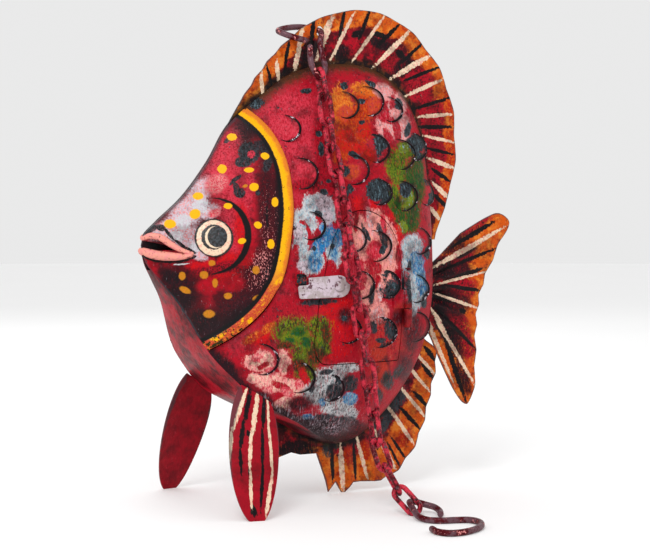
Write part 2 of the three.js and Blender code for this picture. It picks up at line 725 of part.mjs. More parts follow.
function analFin() {
  const curved = smooth(ANAL.edge.slice(0, 10), 14);
  const outline = [...curved, ...ANAL.edge.slice(10), [40, 106]];
  const body = [];
  for (let i = 0; i < 60; i += 1) {
    const turn = (i / 30 - 1) * Math.PI;
    const reach = edgeAt(turn).reach + BAND_CROWN + 2 * GAP;
    body.push([BULGE_AT[0] + Math.cos(turn) * reach, BULGE_AT[1] + Math.sin(turn) * reach]);
  }
  const belly = plate(body, 40).intersect(box([-150, -20, 0], [BAND_END_X, 20, 150]));
  const floor = box([-100, -30, -30], [150, 30, 0]);
  return flutedFin(ANAL, outline).add(plate(KEEL, FIN_SHEET)).subtract(belly).subtract(floor);
}

function pelvicFin(side) {
  const root = new THREE.Vector3(...PELVIC.root);
  const curve = new THREE.QuadraticBezierCurve3(
    root,
    new THREE.Vector3(...PELVIC.bend),
    new THREE.Vector3(...PELVIC.tip),
  );
  const turn = PELVIC.turn * degrees;
  const across = new THREE.Vector3(Math.cos(turn), Math.sin(turn), 0);
  const rows = 7;
  const faces = [0.5, -0.5].map((half) => {
    const grid = [];
    for (let i = 0; i <= rows; i += 1) {
      const v = i / rows;
      const centre = curve.getPoint(v);
      const down = curve.getTangent(v);
      const out = new THREE.Vector3().crossVectors(across, down).normalize();
      if (out.y < 0) out.negate();
      const width = PELVIC.half * Math.sqrt(1 - ((v - 0.45) / 0.58) ** 2);
      const slant = (1 - v) ** 2 * -0.62;
      grid.push([-1, -0.5, 0, 0.5, 1].map((u) => {
        const cup = PELVIC.cup * (1 - u * u) * Math.sin(Math.PI * Math.min(1, v + 0.12));
        const p = centre.clone()
          .addScaledVector(across, u * width)
          .addScaledVector(out, cup + half * FIN_SHEET);
        p.z += u * width * slant;
        p.y *= side;
        return p;
      }));
    }
    return grid;
  });
  const floor = box([-140, -130, -40], [-40, 130, 0]);
  return wall(faces[0], faces[1], false).subtract(floor);
}

// Chain

// The chain's middle line: down from the hook's eye, over the flank, to the floor.
function chainRoute() {
  const against = CHAIN_X.map(([x, z, off]) => new THREE.Vector3(x, -(halfAt(x, z) + off), z));
  const free = CHAIN_FREE.map(([x, y, z]) => new THREE.Vector3(x, y, z));
  const start = new THREE.Vector3(...CHAIN_START);
  return new THREE.CatmullRomCurve3([start, ...against, ...free], false, 'catmullrom', 0.5);
}

// Points on that line where one link hangs in the next, a pitch apart.
function chainJoints() {
  const line = chainRoute().getSpacedPoints(3000);
  const joints = [line[0]];
  line.forEach((p) => {
    const last = joints[joints.length - 1];
    if (p.distanceTo(last) >= LINK.pitch && joints.length <= LINK_COUNT) joints.push(p);
  });
  return joints;
}

// A ring of six-sided wire: two straight strands and two bends of four points each.
function linkSolid(centre, along, flat) {
  const across = new THREE.Vector3().crossVectors(flat, along).normalize();
  const straight = LINK.half - LINK.bend - WIRE;
  const points = [];
  [1, -1].forEach((end) => {
    [-90, -30, 30, 90].forEach((turn) => {
      const round = LINK.bend / (Math.abs(turn) === 90 ? 1 : Math.cos(30 * degrees));
      const out = new THREE.Vector3()
        .addScaledVector(along, end * Math.cos(turn * degrees))
        .addScaledVector(across, end * Math.sin(turn * degrees));
      points.push({ out, at: centre.clone().addScaledVector(along, end * straight).addScaledVector(out, round) });
    });
  });
  const sides = 6;
  const positions = [];
  const indices = [];
  points.forEach(({ out, at }, i) => {
    const next = ((i + 1) % points.length) * sides;
    for (let j = 0; j < sides; j += 1) {
      const turn = (2 * Math.PI * j) / sides;
      const q = at.clone()
        .addScaledVector(out, Math.cos(turn) * WIRE)
        .addScaledVector(flat, Math.sin(turn) * WIRE);
      positions.push(q.x, q.y, q.z);
      const k = (j + 1) % sides;
      indices.push(i * sides + j, i * sides + k, next + k, i * sides + j, next + k, next + j);
    }
  });
  return solidOf(positions, indices);
}

// Every link's middle, its long direction and the direction its hole faces.
function chainFrames() {
  const joints = chainJoints();
  return joints.slice(1).map((below, i) => {
    const above = joints[i];
    const centre = above.clone().lerp(below, 0.5);
    const along = new THREE.Vector3().subVectors(below, above).normalize();
    const out = new THREE.Vector3(0, -1, 0);
    out.addScaledVector(along, -out.dot(along)).normalize();
    const aside = new THREE.Vector3().crossVectors(along, out);
    const twist = LINK_TWIST.angle * THREE.MathUtils.smoothstep(i, LINK_TWIST.from, LINK_TWIST.to);
    const lean = ((i % 2 ? 0 : 90) + twist) * degrees;
    const flat = out.multiplyScalar(Math.cos(lean)).addScaledVector(aside, Math.sin(lean));
    return { centre, along, flat };
  });
}

const hook = (points, steps) => tube(
  new THREE.CatmullRomCurve3(points.map(([x, y, z]) => new THREE.Vector3(x, y, z))),
  steps,
  6,
  HOOK_WIRE,
  HOOK_WIRE,
  false,
);

// The lantern

const lantern = new THREE.Group();

function addPiece(name, solid, color, roughness = 0.55, metalness = 0.1) {
  const material = new THREE.MeshStandardMaterial({ color, roughness, metalness });
  const mesh = new THREE.Mesh(geometryOf(solid.translate(-REAR_FOOT_X, 0, 0)), material);
  mesh.name = name;
  lantern.add(mesh);
}

addPiece('flank_left', flank(-1), RED);
addPiece('flank_right', flank(1), RED);
addPiece('head', head(), MAROON);
addPiece('belly_band', edgeStrip(BAND_ENDS, [-1, -0.5, 0, 0.5, 1], -GAP, BAND_CROWN), RED);
addPiece('dorsal_fin', dorsalFin(), ORANGE);
addPiece('tail_fin', tailFin(), ORANGE);
addPiece('anal_fin', analFin(), ORANGE);
addPiece('pelvic_fin_left', pelvicFin(-1), RED);
addPiece('pelvic_fin_right', pelvicFin(1), RED);
addPiece('hinge_pin', hingePin(), STEEL, 0.5, 0.8);
addPiece('door', door(), RED);
addPiece('latch_rivet', latchRivet(), GREY_WHITE, 0.6, 0.4);
addPiece('latch_strap', latchStrap(), GREY_WHITE, 0.6, 0.4);
addPiece('top_hook', hook(TOP_HOOK, 24), STEEL, 0.5, 0.8);
chainFrames().forEach(({ centre, along, flat }, i) => {
  const name = `chain_link_${String(i + 1).padStart(2, '0')}`;
  addPiece(name, linkSolid(centre, along, flat), ROSE, 0.55, 0.3);
});
addPiece('floor_hook', hook(FLOOR_HOOK, 26), STEEL, 0.5, 0.8);

export default lantern;
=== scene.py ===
"""A painted sheet-metal fish lantern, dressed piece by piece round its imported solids.

Points are worked out in millimetres on the fish's own drawing, whose nose points to -X
and whose flank with the door faces -Y, and are moved to the shared frame in metres last.
"""

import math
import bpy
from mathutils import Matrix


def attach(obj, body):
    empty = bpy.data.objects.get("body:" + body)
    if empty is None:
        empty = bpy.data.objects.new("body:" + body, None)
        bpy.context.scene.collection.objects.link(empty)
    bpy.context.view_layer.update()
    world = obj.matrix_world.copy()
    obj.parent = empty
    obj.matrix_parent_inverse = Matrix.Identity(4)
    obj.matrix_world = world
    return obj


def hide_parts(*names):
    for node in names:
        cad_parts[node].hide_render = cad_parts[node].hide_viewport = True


bl_info = {
    "name": "Tin Fish Lantern",
    "version": (1, 0, 0),
    "blender": (4, 5, 0),
    "location": "3D View > Sidebar > Fish Lantern",
    "description": "Builds a hand-painted sheet-metal fish lantern piece by piece",
    "category": "Add Mesh",
}

import bmesh
import bpy
import numpy as np
from mathutils import Vector

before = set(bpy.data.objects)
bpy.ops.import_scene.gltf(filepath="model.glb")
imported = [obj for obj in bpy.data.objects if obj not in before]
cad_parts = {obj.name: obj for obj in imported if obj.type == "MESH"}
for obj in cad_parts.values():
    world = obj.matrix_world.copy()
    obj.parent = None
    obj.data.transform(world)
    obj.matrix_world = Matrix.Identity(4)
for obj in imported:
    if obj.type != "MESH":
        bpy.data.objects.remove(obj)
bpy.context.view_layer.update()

MM = 0.001
FOOT_X = 14.3  # x of the rear foot's sole on the drawing, which is the frame's origin

# The edge of a flank all the way round: x, z and half the distance to the other flank
SEAM = [
    (-137, 181, 1.5), (-127, 192, 2), (-108, 209, 2), (-90, 232, 2), (-74, 258, 1.8),
    (-50, 278, 1.2), (-26, 294, 1.2), (5, 301, 1.2), (36, 299, 1.2), (60, 284, 1.2),
    (75, 256, 1.2), (81, 215, 1.2), (82, 165, 1.2), (79, 125, 1.2), (68, 90, 1.2),
    (48, 61, 1.2), (25, 41, 1.2), (8, 36, 4), (-6, 39, 18), (-22, 46, 30),
    (-40, 56, 39), (-60, 66, 44), (-76, 76, 45), (-96, 97, 35), (-106, 112, 28),
    (-118, 138, 15), (-128, 153, 7), (-136, 166, 1.5),
]
BULGE_AT = (-8.0, 135.0)  # x, z of the thickest point
PLAIN_BULGE = 50.0  # half thickness there, by which the chain and hinge were laid out
# The two powers of the curve by which a flank rises from its edge, by degrees round the bulge
RISE = ((0, 2.6, 2.0), (90, 1.25, 1.35), (180, 1.12, 1.08), (270, 2.2, 1.8), (360, 2.6, 2.0))
# Shares of the seam's length: the head's ridge, and the belly band
RIDGE_SPAN = (0.0, 4 / 34)
BAND_SPAN = (23 / 34, 33 / 34)
BAND_CROWN = 1.5
GAP = 0.35  # between sheets that meet
CUT_DEPTH = 90  # half the depth of the solids that cut right through the body
DOOR_CUT = (-CUT_DEPTH, -10)  # y of the solids that cut the near flank alone

GILL = [
    (-70, 275), (-50, 253), (-42.5, 232), (-41, 208), (-43, 186), (-50, 157),
    (-62, 136), (-82, 119), (-116, 101),
]
MOUTH_SLIT = [(-146, 181.5), (-146, 173.5), (-113, 172.6), (-104, 171.2), (-113, 173.8)]
# A dark plate across the mouth's middle: painted shadow for the hollow head seen through the slit.
MOUTH_SHADOW_PLATE = [(-136, 183), (-137.6, 176), (-136, 168), (-98, 166), (-98, 178)]
# Lips, from the corner of the mouth forwards, as seen in the photograph, with their thickness
UPPER_LIP = [
    (192, 253.6, 1.2), (182, 250.4, 1.6), (172, 245.2, 2.1), (160, 237.6, 2.2),
    (150, 236.0, 2.0), (145, 237.6, 1.5),
]
LOWER_LIP = [
    (191, 255.4, 1.3), (182, 256.6, 2.1), (170, 256.4, 2.9), (157, 255.2, 3.1),
    (148, 252.8, 2.9), (143, 250.8, 2.1),
]
LIP_TIPS = [(-136.4, 180.4), (-137.2, 171.6)]  # x, z where each lip crosses the nose
EYE = (-93.0, 181.0)
EYE_PROFILE = [
    (0.05, 2.3), (4, 2.2), (8, 1.8), (10.5, 1.3), (12.4, 0.8), (13, 0.4), (13, -1.2), (0.05, -1.2),
]

HOOD = {"radius": 9.6, "height": 3.7, "plate": 0.75}
# Raised scales: x, z and how far each is worn to the bare sheet
SCALES = [
    (-39, 255, 0.1), (-33, 224, 0.15), (-31, 189, 0.2), (6, 272, 0.4), (25, 275, 0.35),
    (42, 270, 0.3), (24, 242, 0.95), (5, 227, 0.5), (22, 212, 1.0), (43, 209, 0.8),
    (61, 244, 0.9), (68, 212, 0.9), (45, 238, 0.4), (56, 178, 0.6), (50, 145, 0.5),
    (52, 118, 0.3), (-20, 80, 0.9), (-45, 88, 0.15), (-70, 101, 0.3),
]
FAR_SCALES = [
    (-38, 255, 0.2), (-31, 222, 0.5), (6, 268, 0.9), (42, 268, 0.3), (23, 241, 0.4),
    (-4, 226, 0.1), (44, 210, 0.8), (-8, 178, 0.3), (22, 180, 0.9), (-34, 140, 0.2),
    (8, 140, 0.6), (38, 128, 0.3), (-16, 100, 0.9), (14, 92, 0.4),
]
DOOR_SCALES = [
    (-2, 180, 0.3), (15, 175, 0.5), (1, 149, 0.4), (22, 149, 1.0), (18, 116, 0.9), (-9, 119, 0.3),
]

DOOR = {"left": -34, "right": 36, "bottom": 96, "top": 199, "corner": 9}
DOOR_GAP = 0.6
HINGE = {
    "x": 38.6, "z": (119, 158), "radius": 2.8, "pin": 1.1, "bore": 1.35, "lift": 3.7,
    "leaf": 11, "play": 0.25,
}
# The latch's rivet, and the way the door faces there
LATCH_PIVOT = (-14.85, -47.91, 148.18)
LATCH_FACING = (-0.2475, -0.9519, 0.1809)
LATCH = {"reach": 28, "tail": 7.5, "width": 15, "thick": 1.3}
RIVET_HOLE = 1.85
NOTCH = 20.5  # from the rivet to the notch at the strap's front end
# The keeper's middle line from the rivet: forwards, up and out, and half its width
KEEPER = [
    (26.2, 3.0, -9.0), (26.2, 3.0, -1.0), (26.1, 3.1, 1.2), (26.0, 3.8, 2.5), (25.9, 5.6, 3.1),
    (25.8, 7.6, 2.8), (25.8, 9.4, 1.8),
]
KEEPER_HALF = 3.3

# Fluted fins: the point their rays run from, the angles of the first ray and the last, how far
# the plate reaches in and out from the body's edge, its cut edge, and its root inside the body
DORSAL = {
    "centre": (-12, 262), "angles": (188, -46), "flutes": 14, "depths": (-4, 62),
    "edge": [
        (-75, 257), (-64, 275), (-51, 293), (-36, 310), (-10, 330), (10, 337), (30, 340),
        (59, 333), (85, 312), (101, 285), (107, 250), (104, 219), (97, 200), (90, 178),
    ],
    "close": [(60, 178), (-40, 230)],
}
FIN_HOLE = (-4, 323.5, 3.6)
TAIL = {
    "centre": (66, 142), "angles": (42, -64), "flutes": 8, "depths": (-4, 90),
    "edge": [
        (86, 173.5), (94, 173.5), (104, 179), (122, 188), (135, 194), (146, 197), (153, 192),
        (153, 186), (145, 173), (135, 154), (129, 139), (126, 122), (125, 103), (125, 83),
        (123, 66), (119, 57), (115, 58), (107, 67), (99, 81), (91, 97), (86, 109), (80, 115),
    ],
    "close": [(60, 116), (60, 172.5)],
}
ANAL = {
    "centre": (10, 115), "angles": (-106, -2), "flutes": 10, "depths": (-4, 48),
    "edge": [
        (82, 106), (90, 99), (91, 88), (87, 70), (82, 51), (77, 37), (71, 26), (65, 19),
        (58, 12), (45, 6),
    ],
    "close": [(22, 6.5), (14, -1.5), (9, 7.5), (2, 1.2), (-6, 28), (-6, 60), (40, 106)],
}
# The plate under the belly band, in front of the anal fin, and where the band ends behind
KEEL = [(-4, 29), (-20, 29), (-27, 31), (-39, 27.5), (-47, 33), (-53, 64), (-4, 60)]
BAND_END_X = 20.5
# A foot fin: its middle line, greatest half width, hollow and turn from straight ahead
PELVIC = {
    "root": (-76, 46.2, 79), "bend": (-84, 56, 46), "tip": (-88, 73, -2),
    "half": 16.8, "cup": 3, "turn": 10,
}

LINK = {"half": 12.95, "bend": 4.3, "pitch": 18.35, "wire": 1.75}
LINK_COUNT = 17
HOOK_WIRE = 2.1
# The chain's middle line: where it hangs from, against the fish as x, z and distance off the
# flank, and free of it
CHAIN_START = (-12.9, -15.8, 293.6)
CHAIN_X = [
    (-13, 269.5, 9), (-14.2, 251.6, 8.4), (-12.8, 231.9, 8.2), (-11, 213, 8.2),
    (-10.8, 199.5, 8.4), (-10.3, 182, 9), (-9.2, 161, 9.8), (-7.8, 146, 10),
    (-6.2, 134, 9.8), (-2, 114, 9),
]
CHAIN_FREE = [
    (2, -59.5, 86), (3.8, -61.5, 64), (3.4, -67, 46), (3.4, -76, 32), (5.2, -86, 19.4),
    (8.6, -95.5, 10.3), (12.4, -104.5, 3.2),
]
TOP_HOOK = [
    (-18.5, -6.4, 316), (-26, -6.2, 317.5), (-33, -3, 320), (-35, 2.4, 322.5),
    (-28, 6.4, 325), (-16, 7, 326.5), (-7, 4.6, 325.4), (-4, 0, 323.6), (-5.4, -4.8, 321.2),
    (-8.2, -8.4, 314), (-8.4, -11.8, 305), (-8, -14.8, 297.5), (-13, -17.4, 289.8),
    (-18, -14.8, 298), (-18, -12.4, 306), (-17.4, -11, 311),
]
FLOOR_HOOK = [
    (22.7, -117, 2.3), (26.5, -110, 2.8), (27, -103, 4.2), (23.5, -97.5, 5.4),
    (17.5, -94, 7.2), (12.4, -95.5, 7.8), (9.4, -101.5, 7.2), (6.4, -111, 4.8),
    (4, -121, 2.8), (5.6, -130, 2.1), (12, -136, 2.1), (21, -138.5, 2.1), (28.5, -142, 2.1),
    (30.5, -150, 2.1), (25.5, -161, 2.1), (15.4, -170, 2.1), (3, -175, 2.1),
    (-6, -174, 2.1), (-10, -167, 2.1), (-8.2, -157, 2.1),
]

# Where the photograph was taken from, on the drawing
LOOK_AT = np.array([0.0, 0.0, 153.6])
BACK = np.array([-0.4691, -0.8822, 0.0401])
RIGHT = np.array([0.8829, -0.4695, 0.0])
UP = np.cross(BACK, RIGHT)
DISTANCE = 1190.0
FOCAL = 1700.0
IMAGE = (650, 551)


# ---------------------------------------------------------------- curves and the body


def smooth(points, steps, closed=False, even=0.5):
    """Points of a smooth curve through the given ones, steps of them to a stretch."""
    p = np.asarray(points, float)
    if closed:
        q = np.vstack([p[-1:], p, p[:2]])
    else:
        q = np.vstack([2 * p[0] - p[1], p, 2 * p[-1] - p[-2]])
    t = (np.arange(steps) / steps)[:, None]
    rows = []
    for a, b, c, d in zip(q, q[1:], q[2:], q[3:]):
        u, v, w = (max(np.linalg.norm(s - r), 1e-6) ** even for r, s in ((a, b), (b, c), (c, d)))
        m = ((b - a) / u - (c - a) / (u + v) + (c - b) / v) * v
        n = ((c - b) / v - (d - b) / (v + w) + (d - c) / w) * v
        rows.append(b + m * t + (3 * (c - b) - 2 * m - n) * t**2 + (2 * (b - c) + m + n) * t**3)
    if not closed:
        rows.append(p[-1:])
    return np.vstack(rows)


def spaced(line, count, closed=False, span=(0.0, 1.0)):
    """Evenly spaced points on a polyline, from one share of its length to another."""
    p = np.vstack([line, line[:1]]) if closed else line
    run = np.concatenate([[0], np.cumsum(np.linalg.norm(np.diff(p, axis=0), axis=1))])
    at = np.linspace(*span, count, endpoint=not (closed and span == (0.0, 1.0))) * run[-1]
    return np.stack([np.interp(at, run, p[:, k]) for k in range(p.shape[1])], axis=1)


def eased(value, low, high):
    """Goes smoothly from 0 to 1 as the value passes from low to high."""
    t = np.clip((value - low) / (high - low), 0, 1)
    return t * t * (3 - 2 * t)


EDGE_LINE = smooth([(x, z, half) for x, z, half in SEAM], 40, closed=True, even=0)
_turns = np.arctan2(EDGE_LINE[:, 1] - BULGE_AT[1], EDGE_LINE[:, 0] - BULGE_AT[0])
_order = np.argsort(_turns)
_reach = np.hypot(EDGE_LINE[:, 0] - BULGE_AT[0], EDGE_LINE[:, 1] - BULGE_AT[1])


def edge_at(turn):
    """Reach of the flank's edge from the thickest point, and its half width there."""
    turns = _turns[_order]
    return (
        np.interp(turn, turns, _reach[_order], period=2 * math.pi),
        np.interp(turn, turns, EDGE_LINE[_order, 2], period=2 * math.pi),
    )


def rise_at(turn):
    """The two powers of the curve by which the flank rises from its edge."""
    angle = np.degrees(turn) % 360
    p, q = np.zeros_like(angle), np.zeros_like(angle)
    for (a, p0, q0), (b, p1, q1) in zip(RISE, RISE[1:]):
        inside = (angle >= a) & (angle <= b)
        t = eased(angle, a, b)
        p = np.where(inside, p0 + (p1 - p0) * t, p)
        q = np.where(inside, q0 + (q1 - q0) * t, q)
    return p, q


def dent(x, z, side):
    """Shallow hollows that hammering left in the sheet."""
    s = 1.7 * side
    wave = (
        np.sin(x * 0.115 + z * 0.05 + s)
        + np.sin(z * 0.13 - x * 0.06 + 2 * s)
        + 0.6 * np.sin(x * 0.21 + 1.3 + s) * np.sin(z * 0.19 + s)
    )
    return 0.16 * wave


def from_bulge(x, z, inset=0.0):
    """Share of the way from the thickest point to the edge, the rise there and the edge's half."""
    dx, dz = x - BULGE_AT[0], z - BULGE_AT[1]
    turn = np.arctan2(dz, dx)
    reach, edge = edge_at(turn)
    p, q = rise_at(turn)
    share = np.minimum(1, np.hypot(dx, dz) / (reach - inset))
    return share, (1 - share**p) ** (1 / q), edge


def plain_half(x, z):
    """Half thickness of the drawing's body, before the hammer settled and dented its sheet."""
    _, rise, edge = from_bulge(np.float64(x), np.float64(z))
    return float(edge + (PLAIN_BULGE - edge) * rise)


def half_at(x, z, side=-1, inset=0.0):
    """Half thickness of the body over the sheet's outer face."""
    x, z = np.asarray(x, float), np.asarray(z, float)
    share, rise, edge = from_bulge(x, z, inset)
    settle = 0.45 * eased(1 - share, 0.1, 0.5)
    calm = eased(1 - share, 0.0, 0.12)
    return edge + (fish_sizes().bulge / MM - inset - edge) * rise - settle - dent(x, z, side) * calm


def beyond_edge(x, z):
    """Distance outside the flank's edge, in the plane of the fins."""
    dx, dz = x - BULGE_AT[0], z - BULGE_AT[1]
    return np.hypot(dx, dz) - edge_at(np.arctan2(dz, dx))[0]


def skin(side, x, z, lift=0.0):
    """Points on a flank, lifted off it along its normal, and those normals."""
    x, z = np.broadcast_arrays(np.asarray(x, float), np.asarray(z, float))
    step = 0.6
    slope_x = (half_at(x + step, z, side) - half_at(x - step, z, side)) / (2 * step)
    slope_z = (half_at(x, z + step, side) - half_at(x, z - step, side)) / (2 * step)
    normal = np.stack([-slope_x, np.full(x.shape, float(side)), -slope_z], axis=-1)
    normal /= np.linalg.norm(normal, axis=-1, keepdims=True)
    point = np.stack([x, side * half_at(x, z, side), z], axis=-1)
    return point + normal * np.asarray(lift, float)[..., None], normal


def ray_at(px, py):
    """The line of sight through a place in the photograph."""
    across = RIGHT * ((px - IMAGE[0] / 2) / FOCAL)[..., None]
    return across - BACK + UP * ((IMAGE[1] / 2 - py) / FOCAL)[..., None]


def seen(px, py):
    """The drawing's x, z on the near flank behind a place in the photograph."""
    eye = LOOK_AT + BACK * DISTANCE
    ray = ray_at(px, py)
    low = np.full(px.shape, -75.0)
    high = np.full(px.shape, 0.0)
    for _ in range(40):
        middle = (low + high) / 2
        at = eye + ray * ((middle - eye[1]) / ray[..., 1])[..., None]
        outside = middle + half_at(at[..., 0], at[..., 2]) < 0
        low, high = np.where(outside, middle, low), np.where(outside, high, middle)
    return at[..., 0], at[..., 2]


def seen_level(px, py, y=0.0):
    """The drawing's x, z on an upright plane behind a place in the photograph."""
    eye = LOOK_AT + BACK * DISTANCE
    ray = ray_at(px, py)
    at = eye + ray * ((y - eye[1]) / ray[..., 1])[..., None]
    return at[..., 0], at[..., 2]


# ---------------------------------------------------------------- meshes


def wall(front, back, wrap=False):
    """Points and faces of a closed sheet between two grids that match row by row."""
    front, back = np.asarray(front, float), np.asarray(back, float)
    rows, columns = front.shape[:2]
    number = np.arange(rows * columns).reshape(rows, columns)
    if wrap:
        number = np.hstack([number, number[:, :1]])
    far = number + rows * columns
    a, b, c, d = number[:-1, :-1], number[1:, :-1], number[1:, 1:], number[:-1, 1:]
    faces = [np.stack([a, b, c, d], -1).reshape(-1, 4)]
    a, b, c, d = far[:-1, 1:], far[1:, 1:], far[1:, :-1], far[:-1, :-1]
    faces.append(np.stack([a, b, c, d], -1).reshape(-1, 4))
    ends = [(number[-1], far[-1]), (far[0], number[0])]
    if not wrap:
        ends += [(far[:, -1], number[:, -1]), (number[:, 0], far[:, 0])]
    for i, j in ends:
        faces.append(np.stack([i[:-1], j[:-1], j[1:], i[1:]], -1))
    points = np.vstack([front.reshape(-1, 3), back.reshape(-1, 3)])
    return points, np.vstack(faces).tolist()


def ring_faces(count, sides, closed=False):
    """Faces over a run of rings of points, capped at both ends unless it closes on itself."""
    number = np.arange(count * sides).reshape(count, sides)
    number = np.hstack([number, number[:, :1]])
    if closed:
        number = np.vstack([number, number[:1]])
    a, b, c, d = number[:-1, :-1], number[:-1, 1:], number[1:, 1:], number[1:, :-1]
    faces = np.stack([a, b, c, d], -1).reshape(-1, 4).tolist()
    if not closed:
        faces += [number[0, :-1][::-1].tolist(), number[-1, :-1].tolist()]
    return faces


def tube(line, radius, sides=12, closed=False, lead=None):
    """A round bar along a line of points, with rounded ends unless it is a ring."""
    line = np.asarray(line, float)
    radius = np.broadcast_to(np.asarray(radius, float), (len(line),)).copy()
    if not closed:
        start, end = line[0] - line[1], line[-1] - line[-2]
        start, end = start / np.linalg.norm(start), end / np.linalg.norm(end)
        caps = np.array([1.0, 0.92, 0.7, 0.38])
        shrink = np.sqrt(np.maximum(1 - caps**2, 0.0004))
        line = np.vstack([
            line[0] + start * (caps * radius[0])[:, None], line,
            line[-1] + end * (caps[::-1] * radius[-1])[:, None],
        ])
        radius = np.concatenate([shrink * radius[0], radius, shrink[::-1] * radius[-1]])
    if closed:
        along = np.roll(line, -1, 0) - np.roll(line, 1, 0)
    else:
        along = np.gradient(line, axis=0)
    along /= np.linalg.norm(along, axis=1, keepdims=True)
    if lead is None:
        lead = np.eye(3)[np.argmin(np.abs(along[0]))]
    across = np.zeros_like(line)
    for i, tangent in enumerate(along):
        lead = lead - tangent * np.dot(lead, tangent)
        lead = lead / np.linalg.norm(lead)
        across[i] = lead
    other = np.cross(along, across)
    turn = np.arange(sides) * 2 * math.pi / sides
    points = (
        line[:, None]
        + across[:, None] * (np.cos(turn)[None, :, None] * radius[:, None, None])
        + other[:, None] * (np.sin(turn)[None, :, None] * radius[:, None, None])
    )
    return points.reshape(-1, 3), ring_faces(len(line), sides, closed)


def turned(profile, foot, axis, sides=32):
    """A solid turned about an axis; profile is rows of radius and height."""
    axis = np.asarray(axis, float) / np.linalg.norm(axis)
    lead = np.cross(axis, np.eye(3)[np.argmin(np.abs(axis))])
    lead /= np.linalg.norm(lead)
    other = np.cross(axis, lead)
    turn = np.arange(sides) * 2 * math.pi / sides
    radius, height = np.asarray(profile, float).T
    points = (
        np.asarray(foot, float)
        + axis * height[:, None, None]
        + lead * (np.cos(turn)[None, :, None] * radius[:, None, None])
        + other * (np.sin(turn)[None, :, None] * radius[:, None, None])
    )
    return points.reshape(-1, 3), ring_faces(len(radius), sides)


def prism(outline, low, high):
    """An upright slab of any outline in x and z, between two values of y."""
    p = np.asarray(outline, float)
    keep = np.linalg.norm(p - np.roll(p, -1, 0), axis=1) > 0.02
    p = p[keep]
    count = len(p)
    near = np.column_stack([p[:, 0], np.full(count, low), p[:, 1]])
    far = np.column_stack([p[:, 0], np.full(count, high), p[:, 1]])
    i = np.arange(count)
    j = (i + 1) % count
    faces = np.stack([i, i + count, j + count, j], -1).tolist()
    faces += [i.tolist(), (i[::-1] + count).tolist()]
    return np.vstack([near, far]), faces


def joined(*parts):
    """Several parts as one set of points and faces."""
    points, faces, count = [], [], 0
    for p, f in parts:
        points.append(np.asarray(p, float))
        faces += [[k + count for k in face] for face in f]
        count += len(p)
    return np.vstack(points), faces


def mesh_of(name, part):
    """A mesh in the shared frame's metres, with its faces turned outwards."""
    points, faces = part
    mesh = bpy.data.meshes.new(name)
    moved = (np.asarray(points) - [FOOT_X, 0, 0]) * MM
    mesh.from_pydata(moved.tolist(), [], faces)
    tidy = bmesh.new()
    tidy.from_mesh(mesh)
    bmesh.ops.remove_doubles(tidy, verts=tidy.verts, dist=1e-6)
    bmesh.ops.recalc_face_normals(tidy, faces=tidy.faces)
    tidy.to_mesh(mesh)
    tidy.free()
    return mesh


def points_of(mesh):
    """A mesh's points on the drawing, in millimetres."""
    points = np.empty(len(mesh.vertices) * 3, np.float32)
    mesh.vertices.foreach_get("co", points)
    return points.reshape(-1, 3) / MM + [FOOT_X, 0, 0]


def cut(part, *steps):
    """A part after cutting steps, each an operation and the solid that it uses."""
    mesh = mesh_of("blank", part)
    for operation, solid in steps:
        blank = bpy.data.objects.new("blank", mesh)
        knife = bpy.data.objects.new("knife", mesh_of("knife", solid))
        for piece in (blank, knife):
            bpy.context.scene.collection.objects.link(piece)
        step = blank.modifiers.new("cut", "BOOLEAN")
        step.operation, step.solver, step.object = operation, "EXACT", knife
        bpy.context.view_layer.update()
        graph = bpy.context.evaluated_depsgraph_get()
        mesh = bpy.data.meshes.new_from_object(blank.evaluated_get(graph))
        for piece in (blank, knife):
            bpy.data.objects.remove(piece)
    if not mesh.polygons:
        raise RuntimeError("A cut left nothing of the sheet")
    return points_of(mesh), [list(face.vertices) for face in mesh.polygons]


def add_piece(name, part, finish, body, stands_for=(), marks=None, sharp=38):
    """Adds a piece to the scene, riding on its body. marks gives values of its points."""
    mesh = mesh_of(name, part)
    points = points_of(mesh)
    for mark, value in (marks or {}).items():
        attribute = mesh.attributes.new(mark, "FLOAT", "POINT")
        attribute.data.foreach_set("value", np.asarray(value(points), np.float32))
    mesh.shade_smooth()
    mesh.set_sharp_from_angle(angle=math.radians(sharp))
    piece = bpy.data.objects.new(name, mesh)
    bpy.context.scene.collection.objects.link(piece)
    mesh.materials.append(finish)
    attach(piece, body)
    if stands_for:
        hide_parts(*stands_for)
    return piece


def fish_sizes():
    """The sizes of the sheets, in metres."""
    return bpy.context.scene.fish_sizes


def fish_paint():
    """The colours of the paints."""
    return bpy.context.scene.fish_paint


# ---------------------------------------------------------------- sheet pieces


def shell(side, rings=64, spokes=230):
    """One pressed half of the body, nose to tail root, as a sheet of true thickness."""
    edge = spaced(EDGE_LINE, spokes, closed=True)
    dx, dz = edge[:, 0] - BULGE_AT[0], edge[:, 1] - BULGE_AT[1]
    reach = np.hypot(dx, dz)
    share = 1 - (1 - np.linspace(0, 1, rings + 1)) ** 1.4
    faces = []
    for inset in (0.0, fish_sizes().sheet / MM):
        scale = share[:, None] * ((reach - inset) / reach)[None]
        x = BULGE_AT[0] + dx * scale
        z = BULGE_AT[1] + dz * scale
        y = half_at(x, z, side, inset)
        faces.append(np.stack([x, side * y, z], axis=-1))
    return wall(faces[0], faces[1], wrap=True)


